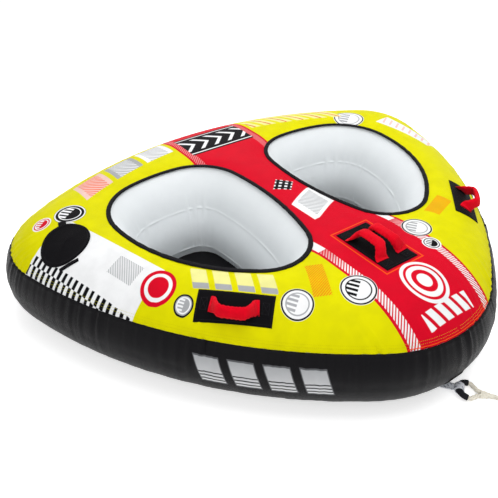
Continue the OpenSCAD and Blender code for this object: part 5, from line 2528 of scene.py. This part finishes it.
    def rope(self) -> None:
        """Makes the rope with its knot."""
        path = through(self.rope_start + np.array(self.rope_steps), self.step)
        rope = self._strands("tow_line", "tow_rope", path, self.rope_d / 2, self.twist)
        turns = np.linspace(0, 360, self.knot_points)
        middle, reach = self.knot_loop
        r = self.knot_size * (middle + reach * np.cos(np.radians(3 * turns)))
        z = self.knot_size * np.sin(np.radians(3 * turns))
        loop = np.column_stack([r[:, None] * heading(2 * turns), z])
        c, s = heading(self.knot_turn - self.knot_back)
        loop = loop @ np.array([[c, s, 0], [-s, c, 0], [0, 0, 1]])
        centre = path[-1] + self.knot_reach * np.array([*heading(self.knot_turn), 0])
        thin = self.rope_d / self.knot_thin
        knot = self._strands("rope_knot_turns", "rope_knot", centre + loop, thin, self.knot_twist)

    def splice(self) -> None:
        """Makes the rope's eye and the splice that closes it."""
        eye = self._at(through(self._eye(), self.step))
        self._strands("eye_turns", "rope_eye", eye, self.rope_d / 2, self.twist)
        t = np.linspace(0, 1, self.splice_rows)
        leg = self.rope_d / 2 + self.leg_gap
        ahead = self.eye_l + self.clear + self.splice_l * t
        axis = self._at(np.column_stack([0 * t, ahead, 0 * t + self.rope_z]))
        width = leg + self.rope_d / 2 - leg * ease(t)
        turns = np.arange(self.splice_sides) * (360 / self.splice_sides)
        twist = np.radians(self.strands * turns[None] + self.tuck_twist * t[:, None])
        tuck = 1 + self.tuck * np.sin(twist)
        sizes = np.stack([width[:, None] * tuck, self.rope_d / 2 * tuck * self.splice_flat], -1)
        rings = heading(turns)[None] * sizes
        maker = MeshMaker().tube(rings_along(axis, rings))
        splice = maker.build("splice_tucks", sharp=self.rope_sharp)
        place(splice, ROPE_YARN, "tow_lead", "rope", "rope_splice")

    def patch(self) -> None:
        """Makes the patch on the nose."""
        h = self.hull
        rows = h.lower(np.linspace(self.patch_angles[0], self.patch_angles[2], self.patch_rows))
        turns = 270 + np.linspace(-self.patch_half, self.patch_half, self.patch_rows)
        top = h.side(rows, turns, h.cover_out + self.clear + self.patch_t)
        under = h.side(rows, turns, h.cover_out + self.clear)
        piece = MeshMaker().shell(top, under).build("tow_patch_cloth", WELD)
        place(piece, BLACK_CLOTH, "tube", "black_fabric", "tow_patch")
        face = h.side(rows, turns, h.cover_out + self.patch_t + 2 * self.clear)
        rows = (face[1], face[: -self.sewn_from, 1], face[: -self.sewn_from, -2])
        sew("tow_patch_stitches", rows, STRAP_STITCH, "tube")

    def strap(self) -> None:
        """Makes the webbing from the patch to the fold."""
        t = np.linspace(0, 1, self.strap_rows)
        end = self.fold + [0, 0, self.webbing_t / 2] - (self.fold_r + self.clear) * self.ahead
        line = self.root + (end - self.root) * t[:, None]
        line[:, 2] = self.root[2] + (end[2] - self.root[2]) * ease(t) - self.webbing_t / 2
        aside = np.column_stack([heading(self.turn * ease(t)), 0 * t])
        width = self.strap_w + (self.fold_w - self.strap_w) * ease(t)
        across = np.linspace(-0.5, 0.5, self.strap_columns)
        cupped = self.cup * np.outer(np.sin(np.pi * t), 1 - (2 * across) ** 2)
        grid = line[:, None] + (width[:, None] * across)[..., None] * aside[:, None]
        grid[..., 2] += cupped
        half = np.array([0, 0, self.webbing_t / 2])
        maker = MeshMaker().shell(grid + half, grid - half)
        piece = maker.build("strap_webbing", WELD, sharp=self.webbing_sharp)
        place(piece, TOW_WEBBING, "tow_lead", "grey_webbing", "tow_strap")
        shares, lift = (-self.stitch_share, self.stitch_share), half * self.stitch_lift
        rows = [line + (width * share)[:, None] * aside + lift for share in shares]
        rows = [row[self.sewn_from :] for row in rows]
        sew("strap_stitches", rows, STRAP_STITCH, "tow_lead", "grey_webbing")

    def fold_end(self) -> None:
        """Makes the folded end of the webbing, which holds the rope's eye."""
        out, bore = self.fold_r, self.bore
        thin, edge = self.fold_edge
        profile = [(bore, -0.5), (bore, 0.0), (bore, 0.5), (out - thin, 0.5), (out, edge),
                   (out - self.fold_hollow, 0.0), (out, -edge), (out - thin, -0.5)]
        e = circle(1.0, self.fold_sides)
        spokes = e[:, :1] * self.ahead + e[:, 1:] * [0, 0, 1]
        rings = [self.fold + r * spokes + w * self.fold_w * self.aside for r, w in [*profile, profile[0]]]
        maker = MeshMaker().grid(np.array(rings), True)
        piece = maker.build("strap_fold", weld=FINE_WELD, sharp=self.webbing_sharp)
        place(piece, TOW_WEBBING, "tow_lead", "grey_webbing", "tow_strap_fold")

    def sleeve(self) -> None:
        """Makes the chafe sleeve round the eye's bend."""
        a = np.radians(np.linspace(-self.chafe_end, self.chafe_end, self.chafe_points))
        y = self.eye_r * (1 - np.cos(a))
        drop = self.rope_z * ease(y / self.eye_l)
        path = self._at(np.column_stack([self.eye_r * np.sin(a), y, drop]))
        wave = 1 + self.chafe_wave * np.sin(np.linspace(0, 90, self.chafe_points))
        ring = circle(1.0, self.chafe_sides)
        outer = rings_along(path, ring[None] * (self.chafe_r * wave)[:, None, None])
        inner = rings_along(path, ring * (self.chafe_r - self.chafe_t))
        piece = MeshMaker().shell(outer, inner, True).build("chafe_cloth_sleeve", weld=FINE_WELD)
        place(piece, CHAFE_CLOTH, "tow_lead", "chafe_fabric", "chafe_sleeve")

    def build(self) -> None:
        """Makes the lead, the rope first."""
        for make in (self.rope, self.splice, self.patch, self.strap, self.fold_end, self.sleeve):
            make()


@dataclass
class Studio:
    """Camera, floor and soft light."""

    eye: Triple = (-1.098, -1.2855, 1.314)
    target: Triple = (-0.2995, -0.1659, 0.3145)
    lens: float = 42.4
    sensor: float = 36.0
    sky: float = 0.50
    floor_glow: float = 0.52
    floor_half: float = 9.0
    floor_drop: float = 0.0004
    floor_colour: Colour = ink(250, 250, 250)
    floor_shade: Colour = ink(244, 244, 246)
    floor_noise: float = 0.4
    floor_wear: Pair = (0.3, 0.05)
    floor_rough: float = 0.9
    floor_depth: float = 0.0001
    floor_gloss: float = 0.1
    lamp_target: Triple = (0.0, 0.0, 0.2)
    lamps: tuple[tuple[str, Triple, float, float], ...] = (
        ("key", (0.5, -0.3, 3.2), 2.8, 66),
        ("fill", (-2.2, -1.6, 2.0), 2.4, 20),
        ("rim", (0.8, 2.6, 2.4), 2.4, 26),
    )

    @staticmethod
    def _aimed(
        name: str, data: bpy.types.ID, spot: Sequence[float], target: Sequence[float]
    ) -> Piece:
        """Puts a camera or a lamp in the scene.

        Args:
            name: Its name.
            data: Its data.
            spot: Its place.
            target: The point that it looks at.

        Returns:
            The object.
        """
        item = bpy.data.objects.new(name, data)
        bpy.context.scene.collection.objects.link(item)
        item.location, item.rotation_mode = spot, "QUATERNION"
        item.rotation_quaternion = (Vector(target) - Vector(spot)).to_track_quat("-Z", "Y")
        return item

    def camera(self) -> None:
        """Sets the camera at the photograph's place."""
        data = bpy.data.cameras.new("camera")
        data.lens, data.sensor_width = self.lens, self.sensor
        bpy.context.scene.camera = self._aimed("camera", data, self.eye, self.target)
        bpy.context.scene.view_settings.view_transform = "Standard"

    @staticmethod
    def _shown(tree: Tree) -> Field:
        """Rays that show a background.

        Args:
            tree: A material's or the world's tree.

        Returns:
            1 for what is seen direct, in a reflection or through glass, and else 0.
        """
        path = tree.nodes.new("ShaderNodeLightPath")
        shown = Field(tree, path.outputs["Is Camera Ray"])
        for name in ("Is Glossy Ray", "Is Transmission Ray"):
            shown = shown.math("ADD", Field(tree, path.outputs[name]), clamp=True)
        return shown

    def build(self) -> None:
        """Makes the floor, the lamps and the sky."""
        ends = np.array([-self.floor_half, self.floor_half])
        y, x = np.meshgrid(ends, ends, indexing="ij")
        corners = np.stack([x, y, np.full((2, 2), -self.floor_drop)], -1)
        floor = MeshMaker().grid(corners).build("floor")
        s = Shader("studio_floor", self.floor_colour)
        soft, (start, share) = s.noise(self.floor_noise), self.floor_wear
        s.lay((soft - start).math("MULTIPLY", share, clamp=True), self.floor_shade)
        gloss = {"Specular_IOR_Level": self.floor_gloss}
        floor.data.materials.append(s.finish(self.floor_rough, soft, self.floor_depth, **gloss))
        s.body.inputs["Emission Color"].default_value = (1, 1, 1, 1)
        glow = self._shown(s.tree) * self.floor_glow
        s.tree.links.new(glow.socket, s.body.inputs["Emission Strength"])
        floor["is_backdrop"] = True
        for name, spot, size, power in self.lamps:
            data = bpy.data.lights.new(name, "AREA")
            data.size, data.energy = size, power
            self._aimed(name, data, spot, self.lamp_target)
        world = bpy.data.worlds.new("studio")
        bpy.context.scene.world = world
        world.use_nodes = True
        tree = world.node_tree
        back = tree.nodes["Background"]
        back.inputs[0].default_value = (1, 1, 1, 1)
        level = self._shown(tree).math("MULTIPLY_ADD", 1 - self.sky, self.sky)
        tree.links.new(level.socket, back.inputs[1])


class Scene:
    """The whole picture."""

    def __init__(self, frame: Frame) -> None:
        """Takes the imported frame.
        """
        self.frame = frame
        self.cad_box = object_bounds()
        self.hull = Hull()
        self.cover = Cover(self.hull)
        self.valve = Valve(self.hull)

    def build(self) -> None:
        """Makes everything, the camera and the rope first."""
        nodes = self.frame["nodes"]
        studio = Studio()
        studio.camera()
        TowLead(self.hull).build()
        GripSet(self.hull).build()
        self.cover.top(self.valve)
        self.cover.band()
        self.cover.bottom()
        self.cover.bindings()
        Bladder(self.hull).build(self.valve)
        self.valve.build(nodes)
        RearZip(self.hull).build(nodes)
        studio.build()


def main() -> None:
    """Loads the frame and makes the scene."""
    logging.basicConfig(level=logging.INFO, format="%(name)s: %(message)s")
    for item in list(bpy.data.objects):
        bpy.data.objects.remove(item)
    scene = Scene(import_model())
    scene.build()


if __name__ == "__main__":
    main()
